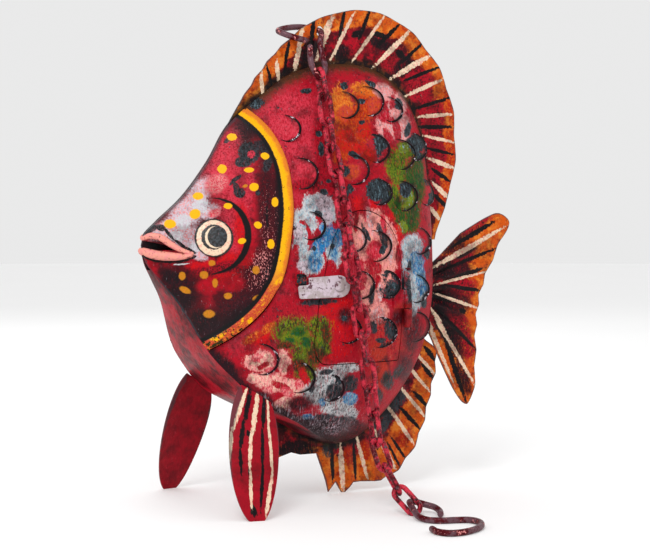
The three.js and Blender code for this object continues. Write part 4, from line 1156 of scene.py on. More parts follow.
# Brushwork on the near flank, in the order it was laid: a colour, a second colour brushed
# into it, its share, how softly it fades, and dabs as x, y, half width, half height and, where
# they lean, turn.
BRUSHWORK = [
    ("rose", "crimson", 0.6, 0.4, [(288, 118, 36, 26, 20), (300, 165, 26, 34), (278, 152, 12, 30)]),
    ("crimson", "maroon", 0.6, 0.4, [
        (322, 150, 8, 40, 4), (352, 206, 22, 14), (386, 222, 22, 22, -20), (310, 186, 20, 8),
    ]),
    ("amber", "orange", 0.7, 0.15, [(341, 106, 10, 22, 5), (366, 92, 14, 9, -20)]),
    ("orange", "rust", 0.8, 0.2, [(352, 132, 17, 18), (362, 110, 12, 18), (341, 150, 8, 14)]),
    ("rust", "scarlet", 0.7, 0.2, [
        (346, 140, 9, 12), (364, 130, 8, 8), (356, 148, 12, 6), (368, 158, 7, 12),
    ]),
    ("coral", "orange", 0.6, 0.15, [(373, 106, 6, 9), (350, 172, 9, 8), (344, 114, 7, 8)]),
    ("crimson", "scarlet", 0.4, 0.2, [(374, 172, 14, 8), (392, 152, 10, 7), (384, 138, 8, 8)]),
    ("pink", "white", 0.5, 0.12, [
        (384, 92, 12, 8, -25), (398, 106, 10, 16, -25), (388, 124, 12, 16), (404, 128, 7, 14),
    ]),
    ("crimson", "rose", 0.6, 0.1, [
        (384, 112, 5, 9, 20), (386, 119, 9, 4, -20), (397, 130, 4, 10, 10), (388, 136, 4, 9, 30),
        (392, 102, 3, 8, -10),
    ]),
    ("lime", "green", 0.7, 0.2, [(397, 168, 10, 18, 8), (404, 150, 9, 8), (392, 196, 8, 12)]),
    ("green", "soot", 0.35, 0.2, [(416, 178, 10, 28), (410, 214, 11, 20), (400, 212, 8, 14, 10)]),
    ("lime", "sky", 0.35, 0.1, [(403, 148, 7, 5, 30), (406, 200, 6, 11), (402, 228, 6, 7)]),
    ("scarlet", "crimson", 0.5, 0.15, [
        (366, 206, 14, 9, -20), (385, 214, 10, 6, -30), (398, 238, 6, 14, 10),
    ]),
    ("white", "sky", 0.6, 0.12, [
        (316, 204, 13, 11), (304, 222, 12, 15), (301, 246, 8, 12), (311, 262, 13, 13),
        (334, 250, 8, 18), (327, 210, 9, 15, 10),
    ]),
    ("lilac", "slate", 0.5, 0.15, [
        (324, 203, 9, 8), (328, 218, 5, 8), (304, 266, 8, 5), (298, 232, 4, 10),
    ]),
    ("blue", "sky", 0.5, 0.12, [(325, 238, 7, 15, -25), (319, 246, 7, 9, -20), (338, 238, 7, 9)]),
    ("sky", "blue", 0.8, 0.12, [(315, 262, 7, 11), (334, 252, 4, 11), (322, 228, 5, 6)]),
    ("crimson", "scarlet", 0.4, 0.1, [
        (303, 223, 4, 2.4, -30), (312, 241, 6, 2, 35), (296, 252, 3, 8), (331, 266, 5, 6, 20),
        (308, 232, 2, 8, 10), (317, 218, 3, 2),
    ]),
    ("pink", "flesh", 0.7, 0.12, [
        (362, 238, 12, 22, 5), (378, 226, 12, 17), (392, 246, 7, 22, 4), (368, 286, 12, 22),
        (384, 262, 11, 28), (378, 314, 11, 13),
    ]),
    ("rose", "crimson", 0.7, 0.12, [
        (374, 250, 8, 10), (367, 210, 4, 12), (352, 262, 5, 16), (360, 276, 5, 16),
        (384, 226, 3, 14, 10),
    ]),
    ("crimson", "maroon", 0.5, 0.12, [
        (374, 268, 8, 9), (376, 282, 5, 8), (383, 206, 5, 11, 30), (356, 222, 2.4, 11, -10),
        (398, 254, 2.4, 10), (352, 296, 8, 18),
    ]),
    ("pink", "white", 0.6, 0.1, [
        (390, 246, 3.4, 19, 3), (370, 222, 3.4, 15, 8), (364, 238, 4, 10, 10), (378, 316, 8, 9),
        (380, 292, 3, 10),
    ]),
    ("slate", "soot", 0.6, 0.08, [
        (381, 236, 3.4, 14, 12), (366, 233, 2, 10, 25), (390, 290, 6.4, 10), (371, 294, 3.2, 11),
    ]),
    ("sky", "white", 0.8, 0.15, [
        (412, 246, 10, 12), (408, 262, 6, 16), (417, 290, 8, 19), (410, 284, 8, 20),
        (412, 308, 6, 9),
    ]),
    ("blue", "sky", 0.7, 0.12, [(416, 263, 8, 11), (421, 280, 5, 14)]),
    ("slate", "soot", 0.4, 0.15, [(404, 288, 2, 13, 4), (409, 268, 2, 8, -8), (405, 305, 3, 6)]),
    ("crimson", "maroon", 0.5, 0.4, [
        (303, 303, 12, 14), (288, 308, 12, 8, 30), (272, 322, 14, 8, 35),
    ]),
    ("scarlet", "crimson", 0.5, 0.3, [
        (336, 308, 18, 12), (343, 324, 12, 14), (262, 340, 14, 8, 30),
    ]),
    ("rust", "amber", 0.6, 0.3, [(252, 338, 12, 5, 30), (268, 328, 9, 4, 38)]),
    ("lime", "olive", 0.8, 0.25, [
        (292, 332, 19, 16, 10), (306, 352, 15, 20), (320, 328, 12, 12), (326, 346, 9, 15),
        (306, 372, 12, 11, -30),
    ]),
    ("green", "lime", 0.9, 0.4, [
        (300, 334, 10, 9), (286, 336, 7, 5), (306, 352, 6, 8), (320, 342, 4, 9),
    ]),
    ("teal", "green", 0.9, 0.3, [(298, 332, 6, 5), (306, 342, 4, 6, 20), (290, 340, 4, 3)]),
    ("olive", "rust", 0.5, 0.3, [
        (316, 356, 10, 8), (300, 366, 8, 6, -20), (326, 334, 4, 10), (284, 346, 8, 4, 20),
    ]),
    ("crimson", "scarlet", 0.7, 0.15, [
        (342, 346, 12, 13, 20), (332, 358, 9, 5, 10), (303, 376, 4, 9, 25), (351, 334, 8, 12),
    ]),
    ("coral", "crimson", 0.7, 0.3, [
        (384, 344, 20, 26), (404, 340, 12, 26), (380, 378, 9, 20), (402, 312, 8, 10),
    ]),
    ("maroon", "slate", 0.5, 0.5, [
        (412, 332, 9, 22), (398, 318, 6, 8), (406, 368, 8, 16), (345, 316, 7, 9),
        (384, 362, 5, 16, 10),
    ]),
    ("rust", "coral", 0.7, 0.2, [(379, 350, 8, 10), (383, 374, 6, 12)]),
    ("slate", "soot", 0.5, 0.1, [(372, 328, 5, 7), (388, 331, 5, 8, 10), (380, 340, 5, 3)]),
    ("pink", "cream", 0.6, 0.12, [
        (258, 361, 14, 11, 10), (284, 362, 7, 13, 10), (270, 382, 15, 11, -20),
        (292, 388, 13, 9, -20), (283, 404, 11, 7, 30), (254, 378, 7, 5),
    ]),
    ("crimson", "maroon", 0.4, 0.1, [
        (250, 350, 7, 5, 20), (262, 366, 7, 3, 30), (281, 386, 10, 4, -20), (276, 396, 7, 3, 10),
        (290, 372, 3, 8),
    ]),
    ("rose", "pink", 0.7, 0.12, [
        (256, 358, 5, 4, 20), (288, 392, 7, 4, -20), (268, 390, 6, 4), (298, 384, 4, 6),
        (270, 372, 5, 5),
    ]),
    ("white", "slate", 0.6, 0.2, [
        (330, 380, 17, 13, 10), (316, 394, 13, 11), (338, 406, 17, 11, 5), (350, 414, 7, 7),
        (346, 368, 13, 5),
    ]),
    ("slate", "soot", 0.6, 0.12, [
        (350, 384, 8, 9), (333, 392, 7, 8.6), (318, 422, 20, 7, 10), (346, 422, 12, 6),
        (312, 386, 3, 7), (326, 372, 7, 2.4, 10),
    ]),
    ("blue", "sky", 0.7, 0.12, [(350, 398, 7, 6), (308, 417, 6, 3), (322, 402, 4, 4)]),
    ("slate", "olive", 0.6, 0.35, [(388, 381, 6, 9), (398, 372, 4, 8, -30), (378, 396, 5, 8)]),
    ("maroon", "plum", 0.7, 0.4, [
        (300, 404, 14, 8, 10), (350, 430, 22, 8, 8), (284, 418, 14, 8, -20), (264, 400, 10, 8, -40),
    ]),
    ("plum", "lilac", 0.5, 0.4, [(318, 430, 38, 10, 4), (286, 420, 18, 9, -25)]),
    ("plum", "soot", 0.7, 0.4, [
        (322, 440, 36, 5, 4), (222, 366, 26, 10, -45), (240, 390, 14, 8, -40),
    ]),
    # A thin dark strip just below the latch strap: painted shadow of the strap.
    ("slate", "soot", 0.6, 0.15, [(318, 302, 20, 3, 3)]),
]
# Worn places of the near flank, given as the dabs are
BARE = [
    (344, 86, 4, 4), (361, 101, 4, 3), (398, 104, 5, 6), (362, 122, 3.5, 2.5, 20), (379, 143, 6, 9),
    (415, 144, 7, 10), (354, 155, 5.5, 3, -30), (345, 171, 4, 5), (377, 190, 11, 11),
    (404, 190, 5, 8), (350, 189, 3.5, 5), (324, 192, 3.5, 3), (306, 91, 6, 3), (321, 149, 3.5, 7),
    (319, 134, 3, 3), (329, 181, 3, 1.6), (371, 84, 6, 2.6, -30), (399, 118, 4, 2, 30),
    (408, 130, 3, 7, -10), (318, 214, 5, 3.5, -40), (332, 247, 2, 3), (314, 248, 2, 3),
    (381, 250, 3, 5), (344, 318, 3, 2.5), (256, 103, 8, 6), (346, 196, 2.6, 6), (427, 252, 3, 7),
    (424, 300, 3, 8),
]
RUBBED = [(322, 420, 50, 14, 4), (276, 408, 22, 9, -28)]  # scratched pale by the belly band


def paint(name):
    """A named paint's colour."""
    return tuple(getattr(fish_paint(), name))


def far_dab(spot, size, turn):
    """Where a dab of the near flank's brushwork comes on the far flank."""
    return (18 - spot[0] * 0.86, spot[1] * 0.94 + 10), size, -turn


def layer(f, colour, flat, work, fray, streak, find=seen, far=False, worn=0.6):
    """Lays brushwork over a colour, thin enough in streaks to let it show through.

    Each entry is two colours, the share of the second, how softly they fade and the dabs. The
    far flank has every other dab.
    """
    scratch = f.noise(0.42, 9.0, 0.82, stretch=(1.9, 1.0, 0.5))
    covering = f.ease(scratch, 0.585, 0.53, 1.0 - worn, 1.0)
    for tint, second, share, soft, dabs in work:
        dabs = dabs_at(dabs[::2] if far else dabs, find)
        if far:
            dabs = [far_dab(*dab) for dab in dabs]
        blend = f.ease(streak, 0.60 - 0.22 * share, 0.78 - 0.30 * share)
        tone = f.mix(blend, paint(tint), paint(second))
        colour = f.mix(f.dabs(flat, dabs, fray, soft) * covering, colour, tone)
    return colour


def body_finish(name, far=False):
    """The flanks' paint: brushed dabs over crimson, chipped to the dark sheet."""
    f = Finish(name)
    flat = f.flat(3.4, 0.16, 6.0)
    fine = f.noise(0.75, 8.0, 0.75, stretch=(1.2, 1.0, 0.55))
    mottle = f.noise(0.11, 7.0, 0.66)
    fray = (fine - 0.5) * 1.5 + (mottle - 0.5) * 0.8
    tone = f.noise(0.05, 5.0, 0.6)
    colour = f.mix(f.ease(tone + (fine - 0.5) * 0.5, 0.45, 0.70), paint("crimson"), paint("rose"))
    colour = f.mix(f.ease(mottle + (fine - 0.5) * 0.3, 0.52, 0.68) * 0.7, colour, paint("maroon"))
    colour = layer(f, colour, flat, BRUSHWORK, fray, fine, far=far)
    inward = f.mark("inward")
    rim = f.mark("rim")
    # Painted shade, with dark seam paint: over its last 9 mm the flank darkens towards its edge,
    # plum low and olive high, where it curves into the fins, band and tail.
    edge = f.ease(inward + (mottle - 0.5) * 16 + (fine - 0.5) * 8, 9.5, 1.0)
    colour = f.mix(edge * 0.9, colour, f.mix(f.ease(f.z, 150, 190), paint("plum"), paint("olive")))
    colour = f.aged(colour, 0.65, 0.5, "lilac")
    rubbed = f.ease(f.noise(0.40, 9.0, 0.80, stretch=(1.9, 1.0, 0.35)), 0.53, 0.62)
    if not far:
        low = f.dabs(flat, dabs_at(RUBBED), fray, 0.4)
        colour = f.mix(rubbed * low * 0.5, colour, paint("lilac"))
    chips = f.ease(f.noise(0.30, 8.0, 0.72) + (mottle - 0.5) * 0.35, 0.64, 0.665)
    if not far:
        chips = chips.most(f.dabs(flat, dabs_at(BARE), fray, 0.08))
    worn = rim * 0.22 + f.mark("worn") * 0.5 + (mottle - 0.5) * 1.3 + (fine - 0.5) * 0.4
    chips = chips.most(f.ease(worn, 0.60, 0.68))
    slate = f.mix(f.ease(fine, 0.40, 0.62), paint("slate"), paint("soot"))
    slate = f.mix(rubbed * 0.4, slate, paint("sky"))
    colour = f.mix(chips, colour, slate)
    # Painted shadow with grime: soot over the rear rim of each raised scale, where it stands open
    # over the flank.
    rim_grime_and_shadow = f.ease(rim, 0.72, 0.98)
    colour = f.sooted(f.mix(rim_grime_and_shadow * 0.75, colour, paint("soot")))
    rough = f.ease(fine, 0.35, 0.65, 0.34, 0.58)
    height = fine * 0.55 + mottle * 0.5 - chips * 0.55
    return f.surface(colour, rough, f.bump(height, 0.6, 0.0008), chips * 0.2)


# Brushwork on the head, as on the flank
HEADWORK = [
    ("maroon", "plum", 0.7, 0.5, [
        (266, 206, 9, 54), (257, 274, 16, 28, -20), (180, 290, 28, 24, -20), (236, 304, 28, 18, 30),
        (242, 132, 12, 14),
    ]),
    ("rose", "crimson", 0.6, 0.5, [
        (224, 156, 12, 24, -24), (222, 178, 20, 18), (234, 206, 16, 20), (238, 236, 12, 22),
        (246, 184, 8, 20),
    ]),
    ("scarlet", "crimson", 0.6, 0.4, [
        (242, 228, 8, 24, 4), (228, 262, 15, 8, 25), (222, 276, 16, 8, 10), (204, 266, 16, 5),
        (244, 258, 8, 10, -20),
    ]),
    ("crimson", "maroon", 0.8, 0.4, [(226, 267, 16, 6, 8), (206, 272, 12, 5)]),
    ("crimson", "scarlet", 0.5, 0.5, [
        (232, 284, 12, 7), (206, 286, 10, 7), (250, 246, 5, 14), (150, 268, 6, 12, 20),
    ]),
    ("plum", "soot", 0.7, 0.45, [
        (172, 278, 14, 8, -30), (178, 302, 16, 20, -40), (206, 324, 22, 14, -30),
        (236, 322, 22, 10, 35), (280, 204, 6, 60), (274, 268, 7, 26, -15), (254, 126, 12, 8, -40),
    ]),
    ("lilac", "pink", 0.6, 0.3, [
        (170, 228, 22, 9, 22), (188, 213, 22, 14, 38), (198, 196, 10, 20, -25), (188, 238, 15, 13),
        (209, 212, 11, 7, 20), (197, 254, 11, 5, -25), (160, 232, 9, 5, 20),
    ]),
    ("white", "lilac", 0.7, 0.25, [
        (200, 206, 9, 8, 30), (184, 222, 9, 7, 20), (194, 248, 6, 6), (176, 236, 8, 5),
    ]),
    ("rose", "pink", 0.7, 0.3, [(216, 184, 12, 9, 30), (214, 213, 7, 4, 20)]),
    ("slate", "soot", 0.7, 0.1, [
        (249, 152, 10, 11, 30), (243, 162, 8, 5), (262, 147, 9, 6, -30), (268, 163, 4, 9, -20),
        (235, 180, 8, 2.2, 40), (240, 193, 6, 5), (258, 193, 2.4, 3), (228, 140, 5, 2, 40),
        (237, 188, 3, 6, 30),
    ]),
    ("rose", "maroon", 0.6, 0.1, [(251, 154, 4, 4)]),
    ("soot", "plum", 0.3, 0.1, [
        (150, 229.5, 9, 3.2, 22), (161, 227.5, 5, 3.2, -20), (169, 234, 9, 1.8, -48),
        (181, 244.5, 8, 1.8, -36), (190, 250.5, 7, 2.2, -26), (267, 217, 1.3, 12),
    ]),
    ("soot", "plum", 0.3, 0.1, [
        (152, 259.5, 10, 1.6, -16), (168, 262, 9, 1.4), (182, 261, 8, 1.4, 8),
        (192, 257.5, 5, 1.8, 25),
    ]),
    # A thin pale line under the lower lip: a painted highlight.
    ("white", "lilac", 0.4, 0.1, [(181, 264.2, 8, 0.8, 5)]),
]
SPOTS = [
    (232, 137, 5, 3.6), (222, 169, 4.6, 4.4), (265, 156, 4.4, 3.2, -15), (249, 170, 5, 2.6),
    (254, 187, 4.6, 4.2), (275, 202, 3.4, 4.8), (198, 196, 5.4, 3.8), (195, 214, 5.6, 5, 20),
    (170, 224, 6, 4.6), (258, 225, 4, 3.4, -30), (271, 244, 3.6, 4.8), (242, 241, 4.2, 2.8, 10),
    (228, 206, 4.4, 3),
]
DULL_SPOTS = [
    (256, 270, 3.6, 4.2), (212, 263, 3.6, 3), (182, 276, 3.4, 4), (204, 275, 4.2, 3.8),
    (185, 290, 6, 3, -25), (215, 283, 2.8, 4.4), (228, 296, 4, 3.2), (257, 298, 4.6, 2.6, 20),
    (209, 314, 5.6, 4), (245, 186, 2.5, 1.6, 20),
]
# Pale flecks at the head's rear and where they thin out
FLECKED = [(258, 272, 12, 24, -20), (270, 215, 9, 46), (246, 284, 8, 10)]
FLECKS_THIN_OUT = (262, 262, 16, 50, 8)
BEHIND_EYE = [(214, 236, 37.5, 38.5), (207.5, 236, 37.5, 38.0)]  # a crescent between two rounds
EYE_RINGS = [  # the dark ring, the iris, the pale crescent and the pupil
    (213.2, 237.8, 17.2, 17.6), (212.7, 237, 12.6, 12.6), (214.4, 237.2, 10.6, 11.0),
    (216.2, 236.6, 10.0, 10.6),
]


def head_finish():
    """The head's paint: chalky snout, rose cheek, dark rear, yellow spots and yellow rim."""
    f = Finish("head_paint")
    flat = f.flat(2.4, 0.2, 6.0)
    still = f.flat(0.9, 0.3, 3.0)
    fine = f.noise(0.8, 8.0, 0.75)
    mottle = f.noise(0.11, 7.0, 0.66)
    fray = (fine - 0.5) * 1.0 + (mottle - 0.5) * 0.6
    colour = f.mix(f.ease(mottle, 0.4, 0.6), paint("crimson"), paint("maroon"))
    colour = layer(f, colour, flat, HEADWORK, fray, fine, worn=0.3)
    from_gill, inward = f.mark("from_gill"), f.mark("inward")
    dark = f.ease(from_gill + (mottle - 0.5) * 16, 23, 7)
    colour = f.mix(dark * f.ease(f.z, 160, 205, 0.8, 0.5), colour, paint("plum"))
    colour = f.aged(colour, 0.45, 0.4, "lilac")
    flecks = f.noise(1.1, 3.0, 0.6, stretch=(1.3, 1.0, 0.6))
    flecks = flecks + f.dab(flat, dabs_at([FLECKS_THIN_OUT])[0]) * -0.08
    flecks = f.ease(flecks, 0.53, 0.57)
    where = f.dabs(flat, dabs_at(FLECKED), fray * 0.8, 0.3)
    colour = f.mix(flecks * where * 0.8, colour, paint("pink"))
    outer, inner = (f.dab(still, dab) for dab in dabs_at(BEHIND_EYE))
    behind_eye = f.ease(outer, 1.02, 0.985) * f.ease(inner, 0.985, 1.02) * f.ease(f.x, -98, -94)
    colour = f.mix(behind_eye, colour, paint("soot"))
    spots = f.dabs(still, dabs_at(SPOTS), (fine - 0.5) * 0.5, 0.1)
    colour = f.mix(spots, colour, f.mix(f.ease(fine, 0.55, 0.75), paint("yellow"), paint("amber")))
    dull = f.dabs(still, dabs_at(DULL_SPOTS), (fine - 0.5) * 0.6, 0.2)
    dull = dull * 0.9
    ochre = f.mix(f.ease(fine, 0.45, 0.65), paint("ochre"), paint("amber"))
    colour = f.mix(dull, colour, ochre)
    chips = f.ease(f.noise(0.36, 5.0, 0.66), 0.69, 0.70)
    ridge = f.ease(inward + (mottle - 0.5) * 3, 1.6, 0.4) * 0.6
    colour = f.mix(chips.most(ridge), colour, paint("slate"))
    line = f.ease(from_gill + (mottle - 0.5) * 3.0, 9.4, 7.8)
    colour = f.mix(line, colour, paint("soot"))
    rim = f.ease(from_gill + (fine - 0.5) * 1.6, 6.1, 5.5)
    low = f.ease(f.z + (mottle - 0.5) * 26, 170, 140)
    gold = f.mix(f.ease(from_gill + (mottle - 0.5) * 5, 3.8, 1.8), paint("yellow"), paint("amber"))
    gold = f.mix(f.ease(fine, 0.5, 0.64) * 0.5, gold, paint("ochre"))
    coral = f.mix(f.ease(fine, 0.45, 0.62), paint("coral"), paint("amber"))
    gold = f.mix(low, gold, f.mix(f.ease(mottle, 0.54, 0.59), coral, paint("yellow")))
    worn = f.ease(f.noise(0.3, 4.0, 0.6) + f.ease(f.z, 130, 112) * 0.16, 0.66, 0.69)
    colour = f.sooted(f.mix(rim, colour, f.mix(worn, gold, paint("olive"))))
    rough = f.ease(fine, 0.3, 0.7, 0.32, 0.52)
    height = fine * 0.5 + mottle * 0.5 - chips * 0.5
    return f.surface(colour, rough, f.bump(height, 0.45, 0.0006))


def eye_finish():
    """A painted eye: a dark ring, a cream ring and a black pupil with a cream crescent."""
    f = Finish("eye_paint")
    flat = f.flat(0.7, 0.35, 2.0)
    fine = f.noise(0.6, 3.0, 0.6)
    ring, iris, crescent, pupil = (f.dab(flat, place) for place in dabs_at(EYE_RINGS))
    ring = ring + (fine - 0.5) * 0.06
    cream = f.mix(f.ease(fine, 0.5, 0.7), paint("cream"), paint("flesh"))
    colour = f.mix(f.ease(ring, 0.985, 1.03), cream, paint("soot"))
    iris = iris + (fine - 0.5) * 0.22
    colour = f.mix(f.ease(iris, 1.03, 0.97), colour, paint("soot"))
    crescent = crescent + (fine - 0.5) * 0.16
    colour = f.mix(f.ease(crescent, 1.03, 0.97), colour, paint("cream"))
    pupil = pupil + (fine - 0.5) * 0.08
    black = f.mix(f.ease(fine, 0.45, 0.65), paint("soot"), paint("slate"))
    colour = f.mix(f.ease(pupil, 1.03, 0.97), colour, black)
    chips = f.ease(f.noise(0.5, 6.0, 0.7), 0.60, 0.64)
    colour = f.mix(chips * 0.8, colour, paint("steel"))
    return f.surface(colour, f.ease(fine, 0.3, 0.7, 0.3, 0.5), f.bump(fine, 0.35), gloss=0.5)


def plain_finish(name, colour, second, rough=0.5, metallic=0.0, chip=0.69, under="slate"):
    """A two-tone paint that has chipped to the dark sheet."""
    f = Finish(name)
    mottle = f.noise(0.12, 5.0, 0.62)
    grain = f.noise(0.6, 4.0, 0.6)
    tone = f.mix(f.ease(mottle + (grain - 0.5) * 0.4, 0.42, 0.6), paint(colour), paint(second))
    chips = f.ease(f.noise(0.33, 5.0, 0.68) + (mottle - 0.5) * 0.3, chip, chip + 0.02)
    tone = f.mix(chips, tone, paint(under))
    spread = (rough - 0.12, rough + 0.12)
    return f.chipped(tone, grain, mottle, chips, spread, metallic=metallic)


def band_finish():
    """The belly band's plain crimson, with painted shade darkening it towards the rear underneath.
    """
    f = Finish("band_paint")
    mottle = f.noise(0.08, 5.0, 0.6)
    grain = f.noise(0.5, 4.0, 0.62, stretch=(0.6, 1.4, 0.6))
    worn = f.ease(mottle + (grain - 0.5) * 0.4, 0.46, 0.76) * 0.6
    tone = f.mix(worn, paint("crimson"), paint("rose"))
    tone = f.mix(f.ease(f.noise(0.05, 3.0), 0.40, 0.62) * 0.75, tone, paint("maroon"))
    # Painted shade: plum over the band's rear, where it turns under the belly.
    tone = f.mix(f.ease(f.x + (mottle - 0.5) * 30, -52, -8), tone, paint("plum"))
    chips = f.ease(f.noise(0.28, 5.0, 0.68) + f.ease(f.z, 90, 160) * 0.06, 0.68, 0.70)
    tone = f.aged(tone, 0.7, 0.35, "rose")
    tone = f.mix(chips, tone, paint("slate"))
    return f.chipped(tone, grain, mottle, chips, (0.34, 0.55))


# Strokes on the fins, as two ends and half a width, seen in the photograph
CREAM_RAYS = {
    "dorsal": [
        (260.7, 72, 262.5, 97, 1.8), (276, 60, 278.5, 84, 1.8), (303, 27, 294, 70, 2.8),
        (333, 14, 316, 60, 3.2), (354, 13, 330, 60, 2.2), (384.5, 15, 352, 61, 1.9),
        (409, 31, 373, 67, 2.4), (431, 55, 390, 79, 2.6), (443, 79, 404, 96.5, 2.2),
        (452, 114, 417, 117, 1.9), (455, 142.5, 423, 135.5, 1.7), (454, 169, 427, 158, 2.2),
        (449, 199, 432, 182, 2.4), (440, 221, 428, 205, 2.0),
    ],
    "tail": [
        (503, 227, 434, 267, 2.3), (489, 271, 434, 285, 1.4), (479, 309, 433, 293, 1.5),
        (474, 386, 428, 303, 2.2), (454, 384, 426, 318, 1.9),
    ],
    "anal": [
        (434, 375, 414, 350, 1.8), (430, 393, 408, 365, 1.9), (426, 419, 399, 385, 2.0),
        (413.5, 445, 385, 403, 2.0), (394.5, 469, 374, 429, 2.0), (367.5, 480, 356, 435, 1.7),
        (343, 495, 340, 442, 2.2),
    ],
}
DARK_RAYS = {
    "dorsal": [
        (266, 64, 271.5, 87, 1.8), (289, 40, 283.5, 76, 1.8), (313, 17, 309.5, 50, 2.0),
        (343.5, 10, 338, 40, 2.2), (370, 9, 358, 40, 1.8), (400, 24, 377, 47, 2.0),
        (424, 42, 400, 64, 2.0), (441, 66, 400, 82, 1.8), (452, 97, 410, 110, 1.9),
        (454, 127, 415, 127, 2.2), (454, 155, 425, 148, 1.8), (451, 182, 431, 168, 2.0),
        (446, 208, 432, 193, 2.4), (387, 37, 372, 33, 3.0), (404, 58, 395, 50, 3.6),
        (362, 32, 352, 36, 3.4), (318, 42, 322, 62, 2.4), (345, 60, 336, 66, 2.4),
    ],
    "tail": [
        (495, 221, 450, 248, 2.4), (499, 247, 429, 276, 1.8), (483, 268, 450, 280, 3.0),
        (482, 291, 443, 285, 2.0), (474, 349, 433, 304, 2.3), (467.5, 404, 439, 326, 2.2),
        (466, 310, 460, 312, 3.0), (448, 300, 430, 292, 3.6),
    ],
    "anal": [
        (436, 361, 422, 345, 2.2), (433, 379, 419, 362, 2.2), (428, 407, 413, 391, 2.2),
        (422, 431, 399, 406, 2.0), (407, 460, 391, 437, 1.8), (399, 467, 386, 442, 1.6),
        (355.5, 481, 353.5, 440, 2.0), (333, 481, 331, 447, 2.4), (378, 450, 372, 436, 1.8),
    ],
}
PATCHES = {
    "dorsal": [
        ("crimson", "maroon", 0.5, 0.2, [
            (356, 48, 14, 9, 20), (392, 62, 14, 12, -35), (420, 84, 14, 14), (432, 118, 13, 22),
            (436, 156, 10, 20),
        ]),
        ("rust", "orange", 0.6, 0.25, [
            (450, 104, 6, 22, 8), (451, 150, 5, 24), (444, 196, 6, 18, -10),
        ]),
        ("plum", "soot", 0.6, 0.2, [
            (380, 44, 14, 5, -25), (404, 66, 8, 12, -40), (340, 52, 10, 7, 20),
            (310, 52, 12, 10, 45),
        ]),
    ],
    "tail": [
        ("crimson", "maroon", 0.6, 0.2, [
            (456, 260, 20, 9, 30), (462, 288, 14, 12), (460, 332, 10, 30, 20),
            (472, 228, 22, 5, 28),
        ]),
        ("maroon", "plum", 0.7, 0.3, [
            (452, 244, 16, 8, 30), (456, 272, 16, 7, 25), (456, 304, 14, 12), (450, 334, 8, 34, 22),
            (462, 372, 5, 24, 16),
        ]),
        # Plum and soot at the tail's root beside the flank's rear edge: dark paint with painted
        # shade.
        ("plum", "soot", 0.7, 0.3, [
            (440, 268, 15, 12, 20), (440, 298, 16, 16), (444, 328, 8, 30, 22),
            (466, 252, 14, 3, 30),
        ]),
    ],
    "anal": [
        ("slate", "soot", 0.3, 0.2, [
            (392, 403, 9, 20, -32), (384, 424, 5, 12, -30), (374, 430, 4, 8), (326, 450, 4.5, 8),
            (336, 444, 4, 5),
        ]),
        # The keel under the belly: plum and soot, dark paint with painted shade under the belly.
        ("plum", "soot", 0.7, 0.2, [(296, 450, 22, 10)]),
        ("rust", "orange", 0.4, 0.2, [
            (404, 438, 6, 12, -35), (348, 456, 6, 10), (364, 450, 6, 10),
        ]),
    ],
}


def fin_finish(which, band):
    """Fin paint: an orange band along the edge, dark red by the body, brushed rays."""
    f = Finish(f"{which}_paint")
    flat = f.flat(1.3, 0.3, 3.0)
    inward, outward = f.mark("from_edge"), f.mark("from_body")
    mottle = f.noise(0.13, 4.0, 0.62)
    fine = f.noise(0.6, 3.0, 0.62)
    fray = (fine - 0.5) * 0.8 + (mottle - 0.5) * 0.4
    share = outward / (outward + inward + 0.01) + (mottle - 0.5) * 0.45 + (fine - 0.5) * 0.12
    if which == "dorsal":
        share = share + f.ease(f.x, -10, -45) * 0.42
    deep = f.mix(f.ease(mottle, 0.44, 0.6), paint("maroon"), paint("crimson"))
    bright = f.mix(f.ease(mottle, 0.46, 0.62), paint("orange"), paint("amber"))
    bright = f.mix(f.ease(f.noise(0.2, 3.0), 0.58, 0.66) * 0.7, bright, paint("rust"))
    colour = f.mix(f.ease(share, band - 0.05, band + 0.05), deep, bright)
    colour = layer(f, colour, flat, PATCHES[which], fray, fine, find=seen_level)
    # Painted shade, with dark joint paint: soot and olive over the fin's root, where it meets the
    # body.
    root = f.ease(outward + (mottle - 0.5) * 12, 8.0, 2.0)
    root = root * 0.92
    shade = f.mix(f.ease(mottle, 0.45, 0.6), paint("soot"), paint("olive"))
    colour = f.mix(root, colour, shade)
    for tint, second, rays in (("soot", "plum", DARK_RAYS), ("cream", "pink", CREAM_RAYS)):
        strokes = strokes_at(rays[which], seen_level)
        tone = f.mix(f.ease(fine, 0.5, 0.66) * 0.8, paint(tint), paint(second))
        colour = f.mix(f.dabs(flat, strokes, (fine - 0.5) * 1.3, 0.12), colour, tone)
    colour = f.aged(colour, 0.6, 0.25, "cream")
    edge = f.ease(inward + (mottle - 0.5) * 1.6, 1.0, 0.5)
    chips = f.ease(f.noise(0.33, 7.0, 0.7), 0.66, 0.68).most(edge * 0.75)
    colour = f.mix(chips, colour, paint("slate"))
    return f.chipped(colour, fine, mottle, chips, (0.34, 0.56))


PELVIC_CREAM = [
    (248, 384, 233, 434, 1.8), (234, 428, 229, 484, 1.9), (258, 390, 251, 436, 2.4),
    (250.5, 428, 249.5, 470, 1.7), (250, 468, 252.5, 508, 1.5), (268, 394, 268, 440, 1.4),
    (268.5, 432, 271.5, 478, 1.5), (271.5, 472, 266, 514, 1.8), (254, 386, 270, 391, 3.0),
]
PELVIC_DARK = [
    (251, 387, 244, 424, 2.4), (244, 416, 240.5, 452, 1.8), (240.5, 446, 242.5, 474, 1.5),
    (265, 392, 261.5, 430, 2.2), (261, 424, 261.5, 470, 1.7), (262, 460, 261, 512, 1.6),
    (247.5, 430, 248.5, 437, 2.0), (253, 506, 256, 518, 2.6), (249, 466, 251, 486, 1.3),
]


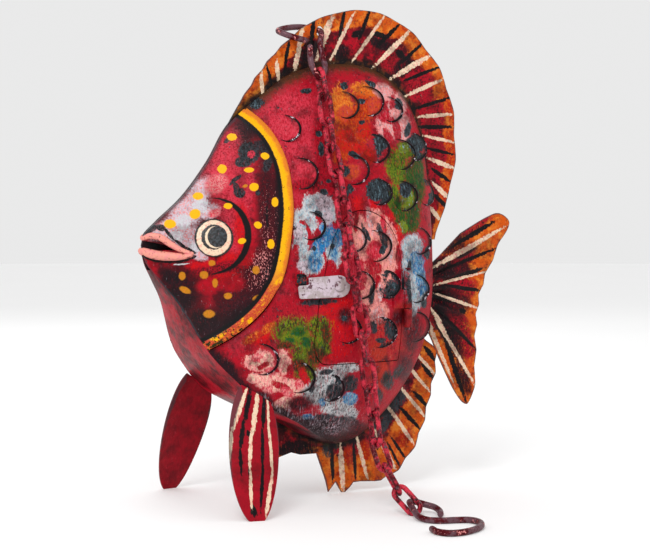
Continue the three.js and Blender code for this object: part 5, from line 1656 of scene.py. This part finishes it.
def pelvic_finish(name, striped):
    """Foot fin paint: crimson with cream and black stripes, or plain red darkened to maroon with
    painted shade.
    """
    f = Finish(name)
    mottle = f.noise(0.12, 5.0, 0.62)
    fine = f.noise(0.55, 4.0, 0.62, stretch=(1.3, 1.0, 0.5))
    # Unstriped, the fin is mostly maroon: its plain red paint with painted shade, as the far fin
    # lies in shadow.
    even = f.ease(mottle + (fine - 0.5) * 0.4, 0.1, 0.9) * (0.5 if striped else 0.9)
    colour = f.mix(even, paint("crimson"), paint("maroon"))
    if striped:
        flat = f.flat(1.0, 0.3, 2.0)
        stripes = (("soot", "plum", PELVIC_DARK), ("cream", "flesh", PELVIC_CREAM))
        for tint, second, strokes in stripes:
            strokes = strokes_at(strokes, seen_foot)
            tone = f.mix(f.ease(fine, 0.5, 0.66) * 0.8, paint(tint), paint(second))
            colour = f.mix(f.dabs(flat, strokes, (fine - 0.5) * 1.6, 0.15), colour, tone)
    else:
        flecks = f.ease(f.noise(0.5, 4.0, 0.66), 0.62, 0.66)
        flecks = flecks * f.ease(f.x + (mottle - 0.5) * 20, -84, -92)
        colour = f.mix(flecks * 0.6, colour, paint("rose"))
    colour = f.aged(colour, 0.4 if striped else 0.15, 0.3, "rose")
    edge = f.ease(f.mark("over").size() + (mottle - 0.5) * 0.2, 0.93, 1.0)
    chips = f.ease(f.noise(0.36, 5.0, 0.66), 0.69, 0.70)
    colour = f.mix(chips.most(edge * 0.6), colour, paint("slate"))
    return f.chipped(colour, fine, mottle, chips, (0.34, 0.54), 0.4)


def seen_foot(px, py):
    """The drawing's x, z on the near foot fin, which leans outwards as it goes down."""
    return seen_level(px, py, -46.0 - 27.0 * np.clip((py - 384) / 134, 0, 1))


def lip_finish():
    """Pink lips, chipped to the dark red under them."""
    f = Finish("lip_paint")
    fine = f.noise(0.5, 4.0, 0.62)
    colour = f.mix(f.ease(fine, 0.42, 0.62), paint("flesh"), paint("pink"))
    chips = f.ease(f.noise(0.4, 6.0, 0.72), 0.57, 0.63)
    colour = f.mix(chips * 0.8, colour, paint("maroon"))
    return f.surface(colour, f.ease(fine, 0.3, 0.7, 0.32, 0.5), f.bump(fine - chips * 0.5, 0.4))


def chain_finish():
    """Rose paint over dark wire, worn through in patches, and flecked pale pink: partly scratches,
    partly painted highlights.
    """
    f = Finish("chain_paint")
    mottle = f.noise(0.16, 4.0, 0.62)
    fine = f.noise(0.6, 4.0, 0.62)
    colour = f.mix(f.ease(mottle + (fine - 0.5) * 0.4, 0.40, 0.62), paint("maroon"), paint("rose"))
    worn = f.ease(f.noise(0.22, 7.0, 0.74), 0.54, 0.62)
    colour = f.mix(worn, colour, f.mix(f.ease(fine, 0.4, 0.65), paint("steel"), paint("soot")))
    # Pale pink flecks: partly scratches, partly painted highlights on the links.
    pale = f.ease(f.noise(0.5, 7.0, 0.8), 0.56, 0.64)
    colour = f.mix(pale * 0.45, colour, paint("pink"))
    height = fine * 0.4 + mottle * 0.3 - worn * 0.6
    return f.surface(colour, f.ease(fine, 0.3, 0.7, 0.34, 0.58), f.bump(height, 0.5), worn * 0.6)


FINISHES = {}


def finish_of(name):
    """The named finish, made when it is first asked for."""
    if name not in FINISHES:
        makers = {
            "body": lambda: body_finish("body_paint"),
            "far_body": lambda: body_finish("far_body_paint", far=True),
            "head": head_finish,
            "band": band_finish,
            "lip": lip_finish,
            "eye": eye_finish,
            "dorsal": lambda: fin_finish("dorsal", 0.70),
            "tail": lambda: fin_finish("tail", 0.72),
            "anal": lambda: fin_finish("anal", 0.42),
            "pelvic": lambda: pelvic_finish("pelvic_paint", True),
            "shaded_inner_pelvic": lambda: pelvic_finish("pelvic_plain", False),
            "latch": lambda: plain_finish(
                "latch_paint", "putty", "lilac", 0.5, 0.0, 0.585, "steel"
            ),
            # Dark paint for the solder seam, and painted shadow for the plate in the mouth.
            "dark": lambda: plain_finish("dark_inside", "soot", "plum"),
            # The scales' cut edges: soot and plum, partly painted shadow under each lip, with lilac
            # chips that are partly wear and partly painted highlight.
            "burr_and_shadow": lambda: plain_finish("scale_edge", "soot", "plum", 0.45, 0.3, 0.61, "lilac"),
            "keeper": lambda: plain_finish(
                "keeper_steel", "soot", "slate", 0.45, 0.3, 0.54, "rust"
            ),
            "wire": lambda: plain_finish("bare_steel", "steel", "maroon", 0.45, 0.3, 0.61, "pink"),
            "chain": chain_finish,
        }
        FINISHES[name] = makers[name]()
    return FINISHES[name]


# ---------------------------------------------------------------- settings


def length_property(name, description, default):
    """A length in Blender's metres, its default given in millimetres."""
    return bpy.props.FloatProperty(
        name=name, description=description, default=default * MM, min=0,
        subtype="DISTANCE", unit="LENGTH",
    )


def colour_property(name, *shades):
    """A colour given as red, green and blue up to 255, as on a colour chart."""
    parts = [c / 255 for c in shades]
    linear = [c / 12.92 if c <= 0.04045 else ((c + 0.055) / 1.055) ** 2.4 for c in parts]
    return bpy.props.FloatVectorProperty(
        name=name, description=f"{name} of the hand-painted finish", size=3, subtype="COLOR",
        min=0, max=1, default=linear,
    )


class FishSizes(bpy.types.PropertyGroup):
    """Sizes of the lantern's sheets and reliefs."""

    sheet: length_property("Sheet", "Wall of the flanks, head, door and band", 1.4)
    fin_sheet: length_property("Fin sheet", "Plate of every fin", 1.2)
    bulge: length_property("Bulge", "Greatest half thickness of the body", 50)
    gill_flare: length_property("Gill flare", "Height of the head's flared rear edge", 3.6)
    flute: length_property("Flute", "Depth of the flutes pressed into the fins", 1.3)


class FishPaint(bpy.types.PropertyGroup):
    """Colours of the hand-painted finish."""

    crimson: colour_property("Crimson", 168, 2, 28)
    scarlet: colour_property("Scarlet", 196, 0, 10)
    rose: colour_property("Rose", 204, 48, 68)
    maroon: colour_property("Maroon", 78, 2, 14)
    plum: colour_property("Plum", 34, 6, 16)
    orange: colour_property("Orange", 200, 80, 6)
    amber: colour_property("Amber", 220, 122, 36)
    rust: colour_property("Rust", 172, 34, 4)
    coral: colour_property("Coral", 184, 52, 42)
    yellow: colour_property("Yellow", 244, 176, 2)
    ochre: colour_property("Ochre", 190, 124, 12)
    pink: colour_property("Pink", 230, 142, 140)
    flesh: colour_property("Flesh pink", 236, 156, 138)
    cream: colour_property("Cream", 232, 206, 176)
    white: colour_property("Chalk white", 196, 200, 202)
    lilac: colour_property("Lilac", 200, 184, 194)
    putty: colour_property("Putty", 168, 154, 154)
    blue: colour_property("Blue", 18, 112, 170)
    sky: colour_property("Sky blue", 140, 178, 194)
    green: colour_property("Green", 26, 76, 10)
    lime: colour_property("Yellow green", 104, 122, 10)
    teal: colour_property("Teal", 2, 74, 52)
    olive: colour_property("Olive", 46, 42, 14)
    soot: colour_property("Soot black", 12, 10, 12)
    slate: colour_property("Slate chips", 50, 58, 64)
    steel: colour_property("Bare steel", 104, 74, 82)


# ---------------------------------------------------------------- operators


class FISH_OT_flanks(bpy.types.Operator):
    """Add both pressed flanks with their raised scales"""

    bl_idname = "fish.flanks"
    bl_label = "Flanks"
    bl_options = {"REGISTER", "UNDO"}

    def execute(self, context):
        behind = AHEAD + [2 * GAP, -GAP]
        near = cut(
            shell(-1),
            ("DIFFERENCE", prism(behind, -CUT_DEPTH, CUT_DEPTH)),
            ("DIFFERENCE", prism(door_outline(DOOR_GAP), *DOOR_CUT)),
        )
        add_piece(
            "flank_sheet_left", near, finish_of("body"), "fish", ["flank_left"],
            flank_marks(),
        )
        add_hoods("left", -1, SCALES, finish_of("body"), "fish")
        far = cut(shell(1), ("DIFFERENCE", prism(behind, -CUT_DEPTH, CUT_DEPTH)))
        add_piece(
            "flank_sheet_right", far, finish_of("far_body"), "fish",
            ["flank_right"], flank_marks(),
        )
        add_hoods("right", 1, FAR_SCALES, finish_of("far_body"), "fish")
        seam = (RIDGE_SPAN[1], BAND_SPAN[0])
        solder = edge_strip(seam, 3, -0.1, 0.0, 160)
        add_piece("seam_solder", solder, finish_of("dark"), "fish")
        return {"FINISHED"}


class FISH_OT_head(bpy.types.Operator):
    """Add the head with its ridge, flared gill edges, lips and eyes"""

    bl_idname = "fish.head"
    bl_label = "Head"
    bl_options = {"REGISTER", "UNDO"}

    def execute(self, context):
        slit = prism(MOUTH_SLIT, -45, 45)
        ahead = prism(AHEAD, -CUT_DEPTH, CUT_DEPTH)
        halves = [
            cut(shell(side), ("INTERSECT", ahead), ("DIFFERENCE", slit)) for side in (-1, 1)
        ]
        ridge = edge_strip(RIDGE_SPAN, 3, 0.25, 0.0, 40)
        ridge = cut(ridge, ("DIFFERENCE", slit))
        add_piece(
            "head_sheet", joined(*halves, ridge), finish_of("head"), "fish",
            ["head"], head_marks(),
        )
        rims = joined(gill_rim(-1), gill_rim(1))
        add_piece("gill_rims", rims, finish_of("head"), "fish", marks=head_marks())
        lips = joined(*(lip(line, tip) for line, tip in zip((UPPER_LIP, LOWER_LIP), LIP_TIPS)))
        add_piece("lips", lips, finish_of("lip"), "fish")
        # The dark plate in the mouth is painted shadow, standing for the dark hollow seen through
        # the slit.
        shadow_plate = prism(MOUTH_SHADOW_PLATE, -1.2, 1.2)
        add_piece("mouth_lining", shadow_plate, finish_of("dark"), "fish")
        eyes = joined(*(turned(EYE_PROFILE, *skin(side, *EYE), 48) for side in (-1, 1)))
        add_piece("eyes", eyes, finish_of("eye"), "fish")
        return {"FINISHED"}


class FISH_OT_band(bpy.types.Operator):
    """Add the belly band that joins the two flanks"""

    bl_idname = "fish.band"
    bl_label = "Belly Band"
    bl_options = {"REGISTER", "UNDO"}

    def execute(self, context):
        band = edge_strip(BAND_SPAN, 25, -GAP, BAND_CROWN, 110)
        add_piece(
            "belly_band_sheet", band, finish_of("band"), "fish", ["belly_band"]
        )
        return {"FINISHED"}


class FISH_OT_fins(bpy.types.Operator):
    """Add the fluted dorsal, tail and anal fins"""

    bl_idname = "fish.fins"
    bl_label = "Fluted Fins"
    bl_options = {"REGISTER", "UNDO"}

    def execute(self, context):
        x, z, radius = FIN_HOLE
        hole = turned([(radius, -9), (radius, 9)], (x, 0, z), (0, 1, 0))
        add_piece(
            "dorsal_fin_sheet", fin_sheet(DORSAL, [("DIFFERENCE", hole)]), finish_of("dorsal"),
            "fish", ["dorsal_fin"], fin_marks(DORSAL),
        )
        add_piece(
            "tail_fin_sheet", fin_sheet(TAIL), finish_of("tail"), "fish",
            ["tail_fin"], fin_marks(TAIL),
        )
        turn = np.linspace(-math.pi, math.pi, 200, endpoint=False)
        reach, half = edge_at(turn)
        reach = reach + BAND_CROWN * np.minimum(1, (half - GAP) / 20) - 0.3
        body = np.column_stack([np.cos(turn) * reach, np.sin(turn) * reach]) + BULGE_AT
        body = body[(body[:, 0] <= BAND_END_X) & (body[:, 1] < 150)]
        body = np.vstack([body, [(BAND_END_X, body[-1, 1]), (BAND_END_X, 150), (-160, 150)]])
        floor = [(-100, 0), (150, 0), (150, -30), (-100, -30)]
        half = fish_sizes().fin_sheet / MM / 2
        off_body = ("DIFFERENCE", prism(body, -25, 25))
        keel = cut(prism(KEEL, -half, half), off_body)
        fin = fin_sheet(ANAL, [off_body, ("DIFFERENCE", prism(floor, -30, 30))])
        add_piece(
            "anal_fin_sheet", joined(fin, keel), finish_of("anal"), "fish",
            ["anal_fin"], fin_marks(ANAL),
        )
        return {"FINISHED"}


class FISH_OT_feet(bpy.types.Operator):
    """Add the two pelvic fins that the fish stands on"""

    bl_idname = "fish.feet"
    bl_label = "Pelvic Fins"
    bl_options = {"REGISTER", "UNDO"}

    def execute(self, context):
        add_piece(
            "pelvic_sheet_left", pelvic_fin(-1), finish_of("pelvic"), "fish",
            ["pelvic_fin_left"], pelvic_marks(),
        )
        add_piece(
            "pelvic_sheet_right", pelvic_fin(1), finish_of("shaded_inner_pelvic"), "fish",
            ["pelvic_fin_right"], pelvic_marks(),
        )
        return {"FINISHED"}


class FISH_OT_door(bpy.types.Operator):
    """Add the hinged door with its scales, and the hinge"""

    bl_idname = "fish.door"
    bl_label = "Door and Hinge"
    bl_options = {"REGISTER", "UNDO"}

    def execute(self, context):
        sheet = cut(shell(-1), ("INTERSECT", prism(door_outline(), *DOOR_CUT)))
        low, high = HINGE["z"]
        share, play, leaf = (high - low) / 3, HINGE["play"], HINGE["leaf"]
        middle = knuckle(low + share + play, high - share - play, HINGE["x"] - leaf)
        finish, marks = finish_of("body"), flank_marks()
        add_piece("door_sheet", sheet, finish, "door", ["door"], marks)
        add_hoods("door", -1, DOOR_SCALES, finish, "door")
        add_piece("hinge_leaf_door", middle, finish, "door", marks=marks)
        outer = joined(
            knuckle(low, low + share - play, HINGE["x"] + leaf),
            knuckle(high - share + play, high, HINGE["x"] + leaf),
        )
        add_piece("hinge_leaf_flank", outer, finish, "fish", marks=marks)
        x, y = hinge_axis()
        length, radius = high - low, HINGE["pin"]
        pin = [(0.9, -1.7), (radius, -1.4), (radius, length + 0.7), (2.1, length + 0.75),
               (2.1, length + 1.6), (1.6, length + 1.9), (0.05, length + 2.0)]
        pin = turned(pin, (x, y, low), (0, 0, 1), 20)
        add_piece("hinge_wire", pin, finish_of("wire"), "fish", ["hinge_pin"])
        return {"FINISHED"}


class FISH_OT_latch(bpy.types.Operator):
    """Add the latch strap, its rivet and the keeper"""

    bl_idname = "fish.latch"
    bl_label = "Latch"
    bl_options = {"REGISTER", "UNDO"}

    def execute(self, context):
        add_piece(
            "latch_plate", latch_strap(), finish_of("latch"), "latch",
            ["latch_strap"],
        )
        top = LATCH["thick"] + 0.3
        profile = [(1.5, -0.7), (1.5, top), (3.3, top), (3.5, top + 0.3), (3.3, top + 0.9),
                   (2.4, top + 1.4), (1.0, top + 1.6), (0.05, top + 1.62)]
        rivet = turned(profile, latch_point(0, 0, 0), latch_axes()[2], 28)
        add_piece(
            "latch_rivet_head", rivet, finish_of("latch"), "door",
            ["latch_rivet"],
        )
        add_piece("keeper", keeper_tab(), finish_of("keeper"), "fish")
        return {"FINISHED"}


class FISH_OT_chain(bpy.types.Operator):
    """Add the chain's links and its two hooks"""

    bl_idname = "fish.chain"
    bl_label = "Chain and Hooks"
    bl_options = {"REGISTER", "UNDO"}

    def execute(self, context):
        for i, (centre, along, flat) in enumerate(chain_frames(), 1):
            add_piece(
                f"link_{i:02d}", link_ring(centre, along, flat), finish_of("chain"), "chain",
                [f"chain_link_{i:02d}"],
            )
        for name, line, node in (
            ("hook_upper", TOP_HOOK, "top_hook"), ("hook_lower", FLOOR_HOOK, "floor_hook"),
        ):
            wire = tube(spaced(smooth(line, 12), 160), HOOK_WIRE, 14)
            add_piece(name, wire, finish_of("wire"), "chain", [node])
        return {"FINISHED"}


class FISH_OT_stage(bpy.types.Operator):
    """Add the floor, the soft lights and the camera"""

    bl_idname = "fish.stage"
    bl_label = "Floor, Lights and Camera"
    bl_options = {"REGISTER", "UNDO"}

    def execute(self, context):
        scene = bpy.context.scene
        mesh = bpy.data.meshes.new("floor")
        points = [(5 * math.cos(a), 5 * math.sin(a), 0) for a in np.arange(64) * math.pi / 32]
        mesh.from_pydata(points, [], [list(range(64))])
        floor = bpy.data.objects.new("floor", mesh)
        scene.collection.objects.link(floor)
        pale = Finish("pale_floor")
        grain = pale.noise(0.004, 2.0)
        pale.surface(pale.mix(grain, (0.80, 0.80, 0.80), (0.82, 0.82, 0.82)), 0.8, glow=0.17)
        mesh.materials.append(pale.material)
        world = bpy.data.worlds.new("studio")
        world.use_nodes = True
        world.node_tree.nodes["Background"].inputs["Color"].default_value = (1, 1, 1, 1)
        world.node_tree.nodes["Background"].inputs["Strength"].default_value = 0.82
        scene.world = world
        scene.view_settings.view_transform = "Standard"
        target = Vector((-FOOT_X * MM, 0, 0.16))
        for name, place, size, power in (
            ("key_light", (-0.9, -1.0, 1.4), 0.6, 13),
            ("fill_light", (1.3, -1.0, 0.7), 1.4, 1.5),
            ("back_light", (0.4, 1.4, 1.2), 1.2, 5),
        ):
            light = bpy.data.lights.new(name, "AREA")
            light.energy, light.size = power, size
            lamp = bpy.data.objects.new(name, light)
            lamp.location = place
            lamp.rotation_euler = (target - Vector(place)).to_track_quat("-Z", "Y").to_euler()
            scene.collection.objects.link(lamp)
        lens = bpy.data.cameras.new("camera")
        lens.sensor_width = 36
        lens.sensor_fit = "HORIZONTAL"
        lens.lens = lens.sensor_width * FOCAL / IMAGE[0]
        lens.clip_start, lens.clip_end = 0.05, 50
        camera = bpy.data.objects.new("camera", lens)
        place = (LOOK_AT + BACK * DISTANCE - [FOOT_X, 0, 0]) * MM
        camera.location = place
        camera.rotation_euler = Vector(-BACK).to_track_quat("-Z", "Y").to_euler()
        scene.collection.objects.link(camera)
        scene.camera = camera
        return {"FINISHED"}


class FISH_PT_lantern(bpy.types.Panel):
    """The lantern's pieces and paints"""

    bl_idname = "FISH_PT_lantern"
    bl_label = "Fish Lantern"
    bl_space_type = "VIEW_3D"
    bl_region_type = "UI"
    bl_category = "Fish Lantern"

    def draw(self, context):
        for operator in OPERATORS:
            self.layout.operator(operator.bl_idname)
        for settings in (context.scene.fish_sizes, context.scene.fish_paint):
            box = self.layout.box()
            for name in settings.__annotations__:
                box.prop(settings, name)


OPERATORS = (
    FISH_OT_flanks, FISH_OT_head, FISH_OT_band, FISH_OT_fins, FISH_OT_feet, FISH_OT_door,
    FISH_OT_latch, FISH_OT_chain, FISH_OT_stage,
)
CLASSES = (FishSizes, FishPaint, *OPERATORS, FISH_PT_lantern)


def register():
    for item in CLASSES:
        bpy.utils.register_class(item)
    bpy.types.Scene.fish_sizes = bpy.props.PointerProperty(type=FishSizes)
    bpy.types.Scene.fish_paint = bpy.props.PointerProperty(type=FishPaint)


def unregister():
    del bpy.types.Scene.fish_sizes
    del bpy.types.Scene.fish_paint
    for item in reversed(CLASSES):
        bpy.utils.unregister_class(item)


def main():
    register()
    bpy.ops.fish.stage()
    bpy.ops.fish.flanks()
    bpy.ops.fish.head()
    bpy.ops.fish.band()
    bpy.ops.fish.fins()
    bpy.ops.fish.feet()
    bpy.ops.fish.door()
    bpy.ops.fish.latch()
    bpy.ops.fish.chain()


if __name__ == "__main__":
    main()
